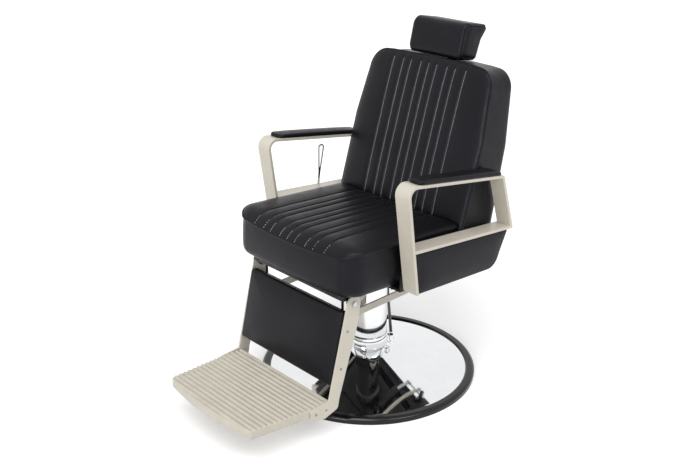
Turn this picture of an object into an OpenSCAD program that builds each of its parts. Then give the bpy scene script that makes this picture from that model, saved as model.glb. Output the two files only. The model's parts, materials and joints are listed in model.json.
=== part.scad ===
// Hydraulic barber chair.
// The sitter faces -Y, the sitter's left is +X and Z is up. The origin is the
// centre of the base on the floor. Sizes are millimetres.

/* [Base] */
// Radius of the base over its trim ring
base_r = 334; // [290:1:400]
// Width of the trim ring
trim_w = 27; // [18:1:36]
// Height of the trim ring
trim_h = 19; // [15:1:26]
// Thickness of the steel base plate
plate_t = 8; // [6:1:12]
// Height of the cover where it meets the collar's neck
neck_z = 80; // [64:1:96]
// Wall of the collar's neck
neck_wall = 3.8; // [3:0.1:8]

/* [Pump] */
// Wall of the collar's cup
collar_wall = 3.8; // [3:0.1:12]
// Height of the collar
collar_h = 44; // [40:1:60]
// Outer radius of the column sleeve
sleeve_r = 57.5; // [54:0.5:59]
// Outer radius of the pump housing
housing_r = 45; // [38:0.5:46]
// Radius of the lifting ram
ram_r = 22; // [18:0.5:27]
// Radius of the pump shaft that the lever turns
pump_shaft_r = 7; // [6:0.5:9]
// Direction in which the pump shaft leaves the collar
pump_shaft_dir = 47.4; // [0:0.1:90]
// Length of the pump lever
lever_len = 300; // [250:1:320]
// Radius of the pump lever's rod
lever_r = 5; // [4:0.5:6.5]
// Upward slope of the pump lever at rest
lever_rise = 6; // [2:0.5:10]

/* [Seat] */
// Height of the seat cushion's lower face over the column
seat_z = 395.3; // [375:0.1:460]
// Backward slope of the seat
seat_pitch = 3.3; // [0:0.1:5]
// Width of the seat cushion
seat_w = 496; // [440:1:590]
// Front edge of the seat cushion, ahead of the column
seat_front = 325; // [300:1:360]
// Rear edge of the seat cushion, behind the column
seat_rear = 108; // [90:1:110]
// Height of the cushion's side band
seat_h = 122; // [100:1:130]
// Rise of the cushion's top over its piping
seat_crown = 18; // [8:1:26]
// Height of the side piping over the band's nominal height
seat_side_rise = 8; // [0:1:12]
// Drop of the piping from the sides to the middle of the front
seat_front_drop = 24; // [8:1:30]
// Radius of the cushion's front corners
seat_corner_r = 60; // [48:1:72]
// Number of sewn channels on the seat and on the back
channels = 9; // [5:2:9]
// Width of a narrow channel, next to each wide one
channel_narrow = 31.5; // [28:0.5:36]
// Plain width on each side of the seat's channels
seat_plain = 77; // [70:0.5:100]
// Depth of a sewn channel
channel_depth = 4; // [2:0.5:6]

/* [Arms] */
// Gap between the seat cushion and an arm frame
arm_gap = 15; // [12:1:20]
// Width of the arm frame's flat bar
arm_w = 52; // [44:1:62]
// Thickness of the arm frame's flat bar
arm_t = 9; // [7:0.5:11]
// Thickness of an arm pad's side
arm_pad_h = 11; // [9:0.5:15]
// Depth of a side panel's face inside the arm frame's edge
panel_inset = 4; // [2:0.5:12]

/* [Backrest] */
// Lean of the backrest's front
back_lean = 17; // [12:0.5:20]
// Gap between the backrest and an arm frame
back_gap = 5; // [3:0.5:20]
// Distance from the seat's rear edge to the backrest's piping, at the same height
seat_back_gap = 8.4; // [8:0.1:20]
// Height of the backrest above its middle
back_top = 212; // [180:1:230]
// Height of the backrest below its middle
back_bottom = 262; // [240:1:266]
// Thickness of the backrest at its middle
back_t = 118; // [100:1:125]
// Rise of the backrest's front over its piping
back_crown = 17; // [8:1:22]
// Plain width on each side of the backrest's channels
back_plain = 93.75; // [88:0.25:110]

/* [Headrest] */
// Length of the headrest bolster
head_w = 204; // [175:1:245]
// Width of the headrest post
post_w = 36; // [28:1:44]
// Thickness of the headrest post
post_t = 8; // [6:0.5:10]

/* [Legrest] */
// Width over the legrest's side plates
leg_w = 414; // [380:1:450]
// Thickness of a side plate
leg_t = 5; // [4:0.5:6]
// Height of the legrest's pivots over the footrest
leg_drop = 269; // [240:1:300]
// Length of the footrest along its top
foot_len = 260; // [220:1:280]
// Width of the footrest's front edge
foot_front_w = 370; // [320:1:376]
// Bow of the footrest's front edge, ahead of its corners
foot_bow = 17; // [4:1:24]
// Number of ribs across the footrest
foot_ribs = 16; // [10:1:20]
// Height of a footrest rib
foot_rib_h = 4; // [2:0.5:5]
// Depth of the footrest's rim
foot_h = 30; // [24:1:34]
// Thickness of the calf pad with its board
calf_t = 30; // [24:1:32]

/* [Linkage] */
// Distance from each pivot down to its link pin
link_arm = 71; // [60:1:80]
// Gap between a link bar and a back arm
link_gap = 8.5; // [6:0.5:15]
// Height of a link bar
link_h = 22; // [18:1:26]
// Thickness of a link bar
link_t = 5; // [4:0.5:6]

/* [Hidden] */
$fn = 48;
RUN = 0.05;      // running clearance of a shaft in its bore
GAP = 0.3;       // gap between faces that move past each other
SOFT = 0.3;      // gap between a soft piece and what it rests on
SEAM = 0.05;     // gap between faces that are bolted or welded together

// Where the chair's main points lie, as [y, z]
leg_pivot = [70 - seat_front, seat_z - 15.3];
back_pivot = [seat_rear + 97, seat_z - 7.3];
leg_pin = leg_pivot - [0, link_arm];
back_pin = back_pivot - [0, link_arm];
arm_x = seat_w / 2 + arm_gap;
arm_out = arm_x + arm_w;
back_w = 2 * (arm_x - back_gap);
side_panel_t = arm_w - panel_inset;
leg_x = leg_w / 2 - leg_t;
seat_span = seat_w / 2 - seat_plain;
back_span = back_w / 2 - back_plain;

neck_r = housing_r + 0.2 + neck_wall;
collar_r = sleeve_r + 0.7 + collar_wall;
collar_z = neck_z + 4;
collar_top = collar_z + collar_h;
cup_z = collar_z + 31;
sleeve_t = 2.5;
sleeve_top = seat_z - 45;
housing_top = sleeve_top - 28;
flange_t = 8;
flange_top = seat_z - 43;
hub_r = sleeve_r + 2.5;
base_bolts_r = housing_r + 27;
shaft_z = collar_z + 22;
screw_z = collar_z + 1;
shaft_in = 32;
shaft_hub = collar_r + 4;

bracket_x = leg_x - 9;
bracket_t = 6;
rail_w = 24;
rail_h = 20;
rail_x = leg_x - rail_w / 2 - 6;
rail_front = leg_pivot.x - 30;
rail_rear = back_pivot.x + 25;
rear_bracket_x = rail_x - 15;
arm_plate_x = rear_bracket_x - 8;
link_x = arm_plate_x - 3 - link_gap - link_t / 2;
stop_x = rail_x - 18;
stop_y = leg_pivot.x - 5;
arm_front = -123;
cyl_x = 100;
cyl_front = [-40, seat_z - 43.3];
cyl_rear = back_pivot - [0, 42];
cyl_r = 13;
cyl_pin_r = 5;

// ---------------------------------------------------------------- outlines

function unit(v) = v / norm(v);
function turn(a) = (a + 540) % 360 - 180;

// One corner of an outline, rounded to radius r in n steps
function corner(p0, p1, p2, r, n) = r <= 0 ? [p1] :
    let (a = unit(p0 - p1), b = unit(p2 - p1),
         half = acos(a * b) / 2,
         c = p1 + unit(a + b) * r / sin(half),
         s = p1 + a * r / tan(half) - c,
         e = p1 + b * r / tan(half) - c,
         a0 = atan2(s.y, s.x),
         da = turn(atan2(e.y, e.x) - a0))
    [for (i = [0:n]) c + r * [cos(a0 + da * i / n), sin(a0 + da * i / n)]];

// Outline with each corner rounded to its own radius; pts = [[x, y, r], ...]
function rounded(pts, n = 6) =
    let (m = len(pts))
    [for (i = [0:m - 1])
        let (p = pts[i], q = pts[(i + m - 1) % m], s = pts[(i + 1) % m])
        each corner([q.x, q.y], [p.x, p.y], [s.x, s.y], p.z, n)];

// The same outline moved inwards by t, with its radii reduced to suit
function inset(pts, t) =
    let (m = len(pts))
    [for (i = [0:m - 1])
        let (p = pts[i], q = pts[(i + m - 1) % m], s = pts[(i + 1) % m],
             a = unit([q.x - p.x, q.y - p.y]), b = unit([s.x - p.x, s.y - p.y]),
             half = acos(a * b) / 2,
             d = unit(a + b) * t / sin(half))
        [p.x + d.x, p.y + d.y, max(p.z - t, 1)]];

// A plate that stands in the YZ plane, from x0 to x1
module side_plate(x0, x1) {
    translate([x0, 0, 0]) rotate([90, 0, 90]) linear_extrude(x1 - x0) children();
}

// A round bar along X, at p = [y, z]
module bar_x(r, x0, x1, p) {
    translate([x0, p.x, p.y]) rotate([0, 90, 0]) cylinder(h = x1 - x0, r = r);
}

// A flat eye with a straight shank between p and q, as a 2D shape
module strap(p, q, rp, rq) {
    translate(p) circle(rp);
    translate(q) circle(rq);
    side = unit([q.y - p.y, p.x - q.x]);
    polygon([p + side * rp, q + side * rq, q - side * rq, p - side * rp]);
}

module both_sides() {
    children();
    mirror([1, 0, 0]) children();
}

// Frame of the sloping seat: origin over the column, on the cushion's lower face
module seat_frame() {
    translate([0, 0, seat_z]) rotate([-seat_pitch, 0, 0]) children();
}

// ---------------------------------------------------------------- cushions

function lerp(a, b, t) = a + (b - a) * t;

// Closed cushion on a grid of columns [[x, y0, y1], ...] with m rows. The piping
// is at z = 0, the face rises to crown, and rings of [depth, inset] make the sides.
module cushion(cols, m, crown, rings, thick = function(y) 1, seams = [], seam = 0,
               place = function(p) p, power = 4) {
    n = len(cols);
    half = cols[n - 1].x;
    y_low = min([for (c = cols) c.y]);
    y_high = max([for (c = cols) c.z]);
    y_mid = (y_low + y_high) / 2;
    half_y = (y_high - y_low) / 2;
    x_mid = (cols[0].x + half) / 2;
    half_x = (half - cols[0].x) / 2;
    face = [for (c = cols) [for (j = [0:m - 1])
        let (v = -cos(180 * j / (m - 1)),
             y = lerp(c.y, c.z, (v + 1) / 2),
             u = (c.x - x_mid) / half_x,
             on_seam = len([for (s = seams) if (abs(s - c.x) < 0.01) 1]) > 0,
             rise = (1 - pow(abs(u), power)) * (1 - pow(abs(v), power)))
        [c.x, y, crown * rise - (on_seam ? seam * min(1, rise * 3) : 0)]]];
    edge = concat([for (i = [0:n - 2]) face[i][0]],
                  [for (j = [0:m - 2]) face[n - 1][j]],
                  [for (i = [n - 1:-1:1]) face[i][m - 1]],
                  [for (j = [m - 1:-1:1]) face[0][j]]);
    edge_id = concat([for (i = [0:n - 2]) i * m],
                     [for (j = [0:m - 2]) (n - 1) * m + j],
                     [for (i = [n - 1:-1:1]) i * m + m - 1],
                     [for (j = [m - 1:-1:1]) j]);
    count = len(edge);
    walls = [for (r = rings) for (p = edge)
        let (y = y_mid + (p.y - y_mid) * (1 - r.y / half_y))
        [x_mid + (p.x - x_mid) * (1 - r.y / half_x), y, -r.x * thick(y)]];
    base = n * m;
    last = base + (len(rings) - 1) * count;
    foot = [x_mid, y_mid, -rings[len(rings) - 1].x * thick(y_mid)];
    points = [for (p = concat([for (c = face) each c], walls, [foot])) place(p)];
    centre = len(points) - 1;
    top_faces = [for (i = [0:n - 2]) for (j = [0:m - 2])
        let (a = i * m + j, b = a + 1, c = a + m + 1, d = a + m)
        each [[a, b, c], [a, c, d]]];
    wall_faces = [for (k = [0:len(rings) - 1]) for (q = [0:count - 1])
        let (q1 = (q + 1) % count,
             a = k == 0 ? edge_id[q] : base + (k - 1) * count + q,
             b = k == 0 ? edge_id[q1] : base + (k - 1) * count + q1,
             c = base + k * count + q1,
             d = base + k * count + q)
        each [[a, b, c], [a, c, d]]];
    foot_faces = [for (q = [0:count - 1]) [last + q, last + (q + 1) % count, centre]];
    polyhedron(points, concat(top_faces, wall_faces, foot_faces), convexity = 6);
}

// Positions of the seams within span of the middle: narrow and wide channels take
// turns from the middle out, with half a wide one beyond the last seam
seams_side = (channels - 1) / 2;
function channel_wide(span) =
    (span - ceil(seams_side / 2) * channel_narrow) / (floor(seams_side / 2) + 0.5);
function seams_x(span) = [for (k = [-seams_side:seams_side])
    sign(k) * (ceil(abs(k) / 2) * channel_narrow + floor(abs(k) / 2) * channel_wide(span))];
// Columns of points that carry the seams
function seam_cols(span) =
    let (s = seams_x(span))
    [for (k = [0:channels - 1])
        each [k == 0 ? -span : (s[k - 1] + s[k]) / 2, s[k] - 6, s[k], s[k] + 6]];

// ---------------------------------------------------------------- base

module base_plate() {
    color("dimgray") difference() {
        cylinder(h = plate_t, r = base_r - trim_w - GAP);
        for (a = [45:90:315]) rotate(a) translate([base_bolts_r, 0, plate_t - 6])
            cylinder(h = 7, r = 5.2);
    }
}

module base_cover() {
    rim = base_r - trim_w - GAP;
    rim_z = trim_h - 6;
    color("gainsboro") rotate_extrude($fn = 96) polygon([
        [rim, rim_z], [rim, rim_z + 2], [neck_r + GAP, neck_z], [neck_r + GAP, neck_z - 2.2]]);
}

module base_trim_ring() {
    inner = base_r - trim_w;
    color("#151515") rotate_extrude($fn = 96) polygon(rounded([
        [inner, 0, 0], [base_r, 0, 1], [base_r, trim_h * 0.72, 7], [base_r - 8, trim_h, 5],
        [inner + 3, trim_h, 2], [inner, trim_h - 3, 0]]));
}

module pump_housing() {
    color("silver") difference() {
        union() {
            translate([0, 0, plate_t]) cylinder(h = 10, r = base_bolts_r + 18);
            translate([0, 0, plate_t]) cylinder(h = housing_top - plate_t, r = housing_r);
        }
        translate([0, 0, plate_t + 12]) cylinder(h = housing_top, r = ram_r + RUN);
        for (a = [45:90:315]) rotate(a) translate([base_bolts_r, 0, 0]) cylinder(h = 40, r = 5.2);
        rotate(pump_shaft_dir) translate([shaft_in - 1, 0, shaft_z]) rotate([0, 90, 0])
            cylinder(h = housing_r, r = pump_shaft_r + RUN);
    }
}

module housing_bolts() {
    color("dimgray") for (a = [45:90:315]) rotate(a) translate([base_bolts_r, 0, 0]) {
        translate([0, 0, plate_t - 6]) cylinder(h = 16, r = 5);
        translate([0, 0, plate_t + 10]) cylinder(h = 6, r = 9, $fn = 6);
    }
}

module gland_nut() {
    color("gray") difference() {
        translate([0, 0, housing_top]) cylinder(h = 12, r = housing_r - 6);
        translate([0, 0, housing_top - 1]) cylinder(h = 14, r = ram_r + RUN);
    }
}

module pump_collar() {
    color("gainsboro") difference() {
        union() {
            translate([0, 0, neck_z - 2]) cylinder(h = collar_z - neck_z + 3, r = neck_r);
            rotate_extrude() polygon(rounded([
                [housing_r + 0.2, collar_z, 0], [collar_r, collar_z, 3],
                [collar_r, collar_top, 2], [housing_r + 0.2, collar_top, 0]]));
            rotate(pump_shaft_dir) translate([collar_r - 6, 0, shaft_z]) rotate([0, 90, 0])
                cylinder(h = 9, r = pump_shaft_r + 6);
            rotate(pump_shaft_dir) translate([neck_r - 1, 0, screw_z]) rotate([0, 90, 0])
                cylinder(h = collar_r + 1 - neck_r + 1, r = 4);
        }
        translate([0, 0, neck_z - 5]) cylinder(h = collar_h + 20, r = housing_r + 0.2);
        translate([0, 0, cup_z]) cylinder(h = collar_h, r = sleeve_r + 0.7);
        rotate(pump_shaft_dir) translate([housing_r - 5, 0, shaft_z]) rotate([0, 90, 0])
            cylinder(h = 40, r = pump_shaft_r + RUN);
    }
}

module collar_screw() {
    color("gainsboro") rotate(pump_shaft_dir) translate([collar_r + 1, 0, screw_z])
        rotate([0, 90, 0]) {
            cylinder(h = 5, r = 2.5);
            translate([0, 0, 5]) cylinder(h = 5, r = 4.8);
        }
}

// ---------------------------------------------------------------- pump lever

module pump_shaft() {
    color("silver") rotate(pump_shaft_dir) translate([shaft_in, 0, shaft_z]) rotate([0, 90, 0])
        cylinder(h = shaft_hub + 14 - shaft_in, r = pump_shaft_r);
}

// Frame of the lever: origin on the shaft, +X along the lever
module lever_frame() {
    rotate(pump_shaft_dir) translate([shaft_hub + 6, 0, shaft_z]) rotate([0, 0, 90])
        rotate([0, -lever_rise, 0]) children();
}

module pump_lever() {
    color("#3a3a3c") difference() {
        union() {
            rotate(pump_shaft_dir) translate([shaft_hub, 0, shaft_z]) rotate([0, 90, 0])
                cylinder(h = 12, r = pump_shaft_r + 6);
            lever_frame() translate([pump_shaft_r + 2, 0, 0]) rotate([0, 90, 0])
                cylinder(h = lever_len - pump_shaft_r - 2, r = lever_r);
            lever_frame() translate([lever_len - 4, 0, 0]) rotate([90, 0, 0])
                cylinder(h = 76, r = lever_r + 1, center = true);
        }
        rotate(pump_shaft_dir) translate([shaft_in, 0, shaft_z]) rotate([0, 90, 0])
            cylinder(h = 80, r = pump_shaft_r + 0.01);
    }
}

module pedal_sleeve() {
    color("#101010") lever_frame() for (s = [-1, 1]) translate([lever_len - 4, s * 24, 0])
        rotate([90, 0, 0]) difference() {
            cylinder(h = 26, r = lever_r + 5.5, center = true);
            cylinder(h = 30, r = lever_r + 1.1, center = true);
        }
}

// ---------------------------------------------------------------- lift

module lift_ram() {
    color("silver") union() {
        translate([0, 0, plate_t + 16]) cylinder(h = flange_top - plate_t - 16, r = ram_r);
        translate([0, 0, flange_top - flange_t])
            cylinder(h = flange_t, r = sleeve_r - sleeve_t - SEAM);
        translate([0, 0, flange_top]) cylinder(h = 16, r = ram_r - 4);
    }
}

module column_sleeve() {
    color("gainsboro") difference() {
        translate([0, 0, cup_z + 1]) cylinder(h = sleeve_top - cup_z - 1, r = sleeve_r);
        translate([0, 0, cup_z]) cylinder(h = sleeve_top, r = sleeve_r - sleeve_t);
    }
}

module thrust_washer() {
    color("peru") difference() {
        translate([0, 0, flange_top]) cylinder(h = 3, r = sleeve_r - 8);
        translate([0, 0, flange_top - 1]) cylinder(h = 5, r = ram_r - 4 + 0.2);
    }
}

// ---------------------------------------------------------------- seat base

module swivel_hub() {
    color("#2a2a2a") difference() {
        translate([0, 0, flange_top + 3 + 0.2]) cylinder(h = 40, r = hub_r);
        translate([0, 0, flange_top]) cylinder(h = 16.4, r = ram_r - 4 + RUN);
        seat_frame() translate([-90, -90, -8 - SEAM]) cube([180, 180, 60]);
        for (a = [45:90:315]) rotate(a) translate([44, 0, flange_top]) cylinder(h = 60, r = 4.2);
    }
}

module hub_bolts() {
    color("silver") intersection() {
        for (a = [45:90:315]) rotate(a) translate([44, 0, flange_top + 7]) cylinder(h = 60, r = 4);
        seat_frame() translate([-90, -90, -60]) cube([180, 180, 58.5]);
    }
}

module chassis_plate() {
    color("#1c1c1c") difference() {
        seat_frame() translate([-rail_x + rail_w / 2, -85, -8]) cube([2 * rail_x - rail_w, 170, 8]);
        for (a = [45:90:315]) rotate(a) translate([44, 0, flange_top]) cylinder(h = 60, r = 4.2);
    }
}

module chassis_rail() {
    seat_frame() translate([rail_x - rail_w / 2, rail_front, -rail_h])
        cube([rail_w, rail_rear - rail_front, rail_h]);
}

module chassis_rail_left() {
    color("#1c1c1c") chassis_rail();
}

module chassis_rail_right() {
    color("#1c1c1c") mirror([1, 0, 0]) chassis_rail();
}

module crossmember(y) {
    inner = rail_x - rail_w / 2;
    color("#1c1c1c") seat_frame() translate([-inner, y, -rail_h]) cube([2 * inner, 30, rail_h]);
}

module crossmember_front() {
    crossmember(rail_front);
}

module crossmember_rear() {
    crossmember(125);
}

// Bar from the rails to a turned-up end that holds the arm frame and side panel
module arm_bar(y) {
    rail_out = rail_x + rail_w / 2;
    difference() {
        seat_frame() {
            translate([rail_out, y - 20, -8]) cube([arm_x - SEAM - rail_out, 40, 8]);
            translate([arm_x - SEAM - arm_end_t, y - 20, -8]) cube([arm_end_t, 40, 50]);
        }
        arm_holes(arm_bolt_r + RUN);
    }
}

module arm_bar_front() {
    color("#1c1c1c") both_sides() arm_bar(arm_bar_y[0]);
}

module arm_bar_rear() {
    color("#1c1c1c") both_sides() arm_bar(arm_bar_y[1]);
}

arm_bar_y = [arm_front + 8, 145];
arm_bolts_y = [arm_front - 1, arm_front + 19, arm_bar_y[1] - 11, arm_bar_y[1] + 11];
arm_end_t = 5;
arm_bolt_r = 3;

// Shanks of the arm's bolts: one into the front leg, the others into the side panel
module arm_holes(r, deep = 1, facets = 48) {
    seat_frame() for (y = arm_bolts_y) translate([arm_x - arm_end_t - 1, y, 24])
        rotate([0, 90, 0]) cylinder(h = arm_end_t + 1 + 14 + deep, r = r, $fn = facets);
}

module arm_bolts() {
    color("silver") both_sides() {
        arm_holes(arm_bolt_r, deep = 0);
        seat_frame() for (y = arm_bolts_y)
            translate([arm_x - SEAM - arm_end_t - 4, y, 24]) rotate([0, 90, 0])
                cylinder(h = 4, r = 6, $fn = 6);
    }
}

module legrest_brackets() {
    color("#1c1c1c") both_sides() difference() {
        side_plate(bracket_x - bracket_t / 2, bracket_x + bracket_t / 2) union() {
            translate(leg_pivot) circle(13);
            translate(leg_pivot - [13, 0]) square([26, 24]);
        }
        bar_x(6 + RUN, bracket_x - 10, bracket_x + 10, leg_pivot);
        seat_frame() translate([bracket_x - 10, rail_front - 15, -rail_h - SEAM])
            cube([20, 200, 40]);
    }
}

// Bolts on which the legrest and the backrest swing, and the cylinder's front pin
module pivot_bolts() {
    color("silver") {
        both_sides() {
            bar_x(6, bracket_x - 5, leg_x + leg_t + 2, leg_pivot);
            bar_x(7.5, leg_x + leg_t + GAP, leg_x + leg_t + 5, leg_pivot);
            bar_x(9, bracket_x + bracket_t / 2, leg_x - GAP, leg_pivot);
            bar_x(9, bracket_x - 9, bracket_x - bracket_t / 2, leg_pivot);
            bar_x(8, arm_plate_x - 12, rear_bracket_x + 3, back_pivot);
            bar_x(14, arm_plate_x - 12, arm_plate_x - 3 - GAP, back_pivot);
        }
        bar_x(cyl_pin_r, cyl_x - 12, cyl_x + 12, cyl_front);
    }
}

module stop_rods() {
    color("#151515") difference() {
        both_sides() translate([stop_x, stop_y, leg_pivot.y - 36]) cylinder(h = 60, r = 3.75);
        seat_frame() translate([-stop_x - 10, rail_front - 15, -rail_h - SEAM])
            cube([2 * stop_x + 20, 100, 60]);
    }
}

module stop_buffers() {
    color("#0c0c0c") both_sides() translate([stop_x, stop_y, leg_pivot.y - 46])
        cylinder(h = 10, r = 7);
}

module back_brackets() {
    color("#1c1c1c") both_sides() difference() {
        side_plate(rear_bracket_x - 3, rear_bracket_x + 3) union() {
            translate(back_pivot) circle(16);
            polygon([back_pivot + [-16, 0], back_pivot + [16, 0],
                     back_pivot + [22, -26], back_pivot + [-22, -26]]);
        }
        bar_x(8 + RUN, rear_bracket_x - 10, rear_bracket_x + 10, back_pivot);
    }
}

module cylinder_bracket() {
    color("#1c1c1c") difference() {
        union() for (s = [-1, 1]) side_plate(cyl_x + s * 8 - 2, cyl_x + s * 8 + 2) union() {
            translate(cyl_front) circle(10);
            translate(cyl_front - [10, 0]) square([20, 40]);
        }
        bar_x(cyl_pin_r + RUN, cyl_x - 20, cyl_x + 20, cyl_front);
        seat_frame() translate([0, -85, -8 - SEAM]) cube([200, 170, 60]);
    }
}

// ---------------------------------------------------------------- seat

seat_bow = 8;
// Front edge of the seat cushion at x: bowed, then round the corner
function seat_front_y(x) =
    let (c = seat_w / 2 - seat_corner_r, a = abs(x))
    a <= c ? -seat_front + seat_bow * pow(a / c, 2)
           : -seat_front + seat_bow + seat_corner_r
             - sqrt(max(0, pow(seat_corner_r, 2) - pow(a - c, 2)));

module seat_cushion() {
    c = seat_w / 2 - seat_corner_r;
    side = [for (a = [15, 35, 55, 75, 90]) c + seat_corner_r * sin(a)];
    xs = concat([for (i = [4:-1:0]) -side[i]], seam_cols(seat_span), [seat_span], side);
    cols = [for (x = xs) [x, seat_front_y(x), seat_rear]];
    // The piping runs higher at the sides and drops along the front
    place = function(p) [p.x, p.y, p.z + max(0, 1 + min(0, p.z) / seat_h)
        * (seat_side_rise - seat_front_drop * pow(max(0, 60 - seat_front - p.y) / 60, 2))];
    color("#1a1a1c") seat_frame() difference() {
        translate([0, 0, seat_h]) cushion(cols, 9, seat_crown,
            [[4, -1], [seat_h * 0.35, 3], [seat_h * 0.7, 3], [seat_h - 18, 4], [seat_h - 7, 10],
             [seat_h - SOFT / 2, 23]],
            seams = seams_x(seat_span), seam = channel_depth, place = place, power = 8);
        translate([0, 0, -1]) seat_board_shape(13 + 0.2, SOFT);
    }
}

module seat_board_shape(h, grow) {
    y0 = -seat_front + 30 - grow;
    y1 = seat_rear - 30 + grow;
    x = seat_w / 2 - 30 + grow;
    linear_extrude(h) polygon(rounded([[-x, y0, 50], [x, y0, 50], [x, y1, 10], [-x, y1, 10]]));
}

module seat_board() {
    color("burlywood") seat_frame() translate([0, 0, SEAM]) seat_board_shape(12, 0);
}

// ---------------------------------------------------------------- arms

// Front face of the arm's front leg, as y at height z above seat_z
function arm_front_y(z) = arm_front - (z - 3.7) * 0.1395;
arm_loop = [[arm_front_y(326), seat_z + 326.5, 30], [229, seat_z + 267, 12],
            [284.5, seat_z + 90.7, 4], [arm_front_y(128.7), seat_z + 128.7, 0]];
arm_slope = atan2(arm_loop[1].y - arm_loop[0].y, arm_loop[1].x - arm_loop[0].x);

module arm_frame() {
    difference() {
        arm_bar_loop();
        arm_holes(arm_bolt_r + RUN);
    }
}

module arm_bar_loop() {
    side_plate(arm_x, arm_out) difference() {
        polygon(rounded([arm_loop[0], arm_loop[1], arm_loop[2],
            [arm_front_y(127.9) + arm_t, seat_z + 127.9, 0],
            [arm_front_y(3.7) + arm_t, seat_z + 3.7, 0],
            [arm_front_y(3.7), seat_z + 3.7, 0]]));
        polygon(rounded(inset(arm_loop, arm_t)));
    }
}

module arm_frame_left() {
    color("#cbc5b6") arm_frame();
}

module arm_frame_right() {
    color("#cbc5b6") mirror([1, 0, 0]) arm_frame();
}

module arm_pad() {
    half = arm_w / 2 + 1;
    xs = [-half, -half + 3, -half + 9, -9, 0, 9, half - 9, half - 3, half];
    front = function(x) 46 + 14 * pow(abs(x) / half, 4);
    cols = [for (x = xs) [x, front(x), 386]];
    translate([arm_x + arm_w / 2, arm_loop[0].x, arm_loop[0].y])
        rotate([arm_slope, 0, 0]) translate([0, 0, arm_pad_h + 0.1])
            cushion(cols, 7, 4, [[3, -1.2], [arm_pad_h - 3, -0.6], [arm_pad_h, 2]]);
}

module arm_pad_left() {
    color("#151517") arm_pad();
}

module arm_pad_right() {
    color("#151517") mirror([1, 0, 0]) arm_pad();
}

module side_panel_solid() {
    front = arm_front_y(0) + arm_t + 2 * GAP;
    lower = function(y) y < 190 ? -0.0575 * (y + 119) - 0.3
        : y < 236 ? -18.1 + 46 - sqrt(max(0, 46 * 46 - pow(y - 190, 2)))
        : -18.1 + 46 - 6.5 + (y - 236) * 1.9;
    upper = function(y) 128.7 - (y + 141) * 0.0893 - 1.7;
    ys = [front, front + 8, -40, 70, 160, 190, 208, 222, 232, 240, 256, 270, 275];
    cols = [for (y = ys) [y, lower(y), upper(y)]];
    inner = arm_x + GAP;
    place = function(p) [inner + side_panel_t - 4 + p.z,
        p.x - (p.x < 0 ? 0.1395 * p.y * (-p.x / 120) : 0), seat_z + p.y];
    cushion(cols, 7, 4, [[3, -0.2], [side_panel_t - 8, -0.2], [side_panel_t - 4, 2]],
            place = place);
}

module side_panel_left() {
    color("#1a1a1c") difference() {
        side_panel_solid();
        arm_holes(arm_bolt_r + 0.15, facets = 16);
    }
}

module side_panel_right() {
    color("#1a1a1c") difference() {
        mirror([1, 0, 0]) difference() {
            side_panel_solid();
            arm_holes(arm_bolt_r + 0.15, facets = 16);
        }
        bar_x(lever_tube_r + SOFT, -arm_out - 5, -arm_x + 5, lever_pivot);
    }
}

// ---------------------------------------------------------------- recline lever

lever_pivot = [74, seat_z + 42];
lever_x = -(arm_out + 10);

lever_tube_r = 10;
lever_shaft_r = 5;

// Tube through the side panel for the lever's shaft, on a plate off the rear arm bar
module lever_bearing() {
    color("silver") difference() {
        union() {
            bar_x(lever_tube_r, -arm_out - 1, -arm_x + arm_end_t, lever_pivot);
            bar_x(lever_tube_r + 5, -arm_out - 1, -arm_out + 2, lever_pivot);
            seat_frame() translate([-arm_x, 55, 20])
                cube([arm_end_t, arm_bar_y[1] - 20 - 55, 40]);
        }
        bar_x(lever_shaft_r + RUN, -arm_out - 10, -arm_x + 20, lever_pivot);
    }
}

module recline_lever() {
    top = [lever_pivot.x + 22, lever_pivot.y + 190];
    neck = [lever_pivot.x + 13, lever_pivot.y + 109];
    color("gainsboro") {
        bar_x(lever_shaft_r, lever_x - 4, -arm_x + arm_end_t + 1, lever_pivot);
        bar_x(9, lever_x - 4, lever_x + 4, lever_pivot);
        side_plate(lever_x - 3, lever_x + 3) difference() {
            union() {
                strap(lever_pivot, neck, 5, 4);
                strap(neck, top, 4, 12);
            }
            strap(neck + [2, 18], top, 1.5, 7.5);
        }
    }
}

// ---------------------------------------------------------------- backrest

// Frame of the backrest's front: origin in the middle of the piping plane,
// local Y up along the back and local Z out towards the sitter
seat_edge = [seat_rear * cos(seat_pitch) + seat_h * sin(seat_pitch),
    seat_z + seat_h * cos(seat_pitch) - seat_rear * sin(seat_pitch)];
back_z = back_pivot.y + 103.7 + back_bottom * cos(back_lean);
back_origin = [0, seat_edge.x + seat_back_gap + (back_z - seat_edge.y) * tan(back_lean), back_z];
function back_point(up, out) = [back_origin.y, back_origin.z]
    + up * [sin(back_lean), cos(back_lean)] + out * [-cos(back_lean), sin(back_lean)];
module back_frame() {
    translate(back_origin) rotate([90 - back_lean, 0, 0]) children();
}

// Thickness of the backrest at a height along its front
back_thick = function(s) back_t - 0.104 * s;

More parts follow.
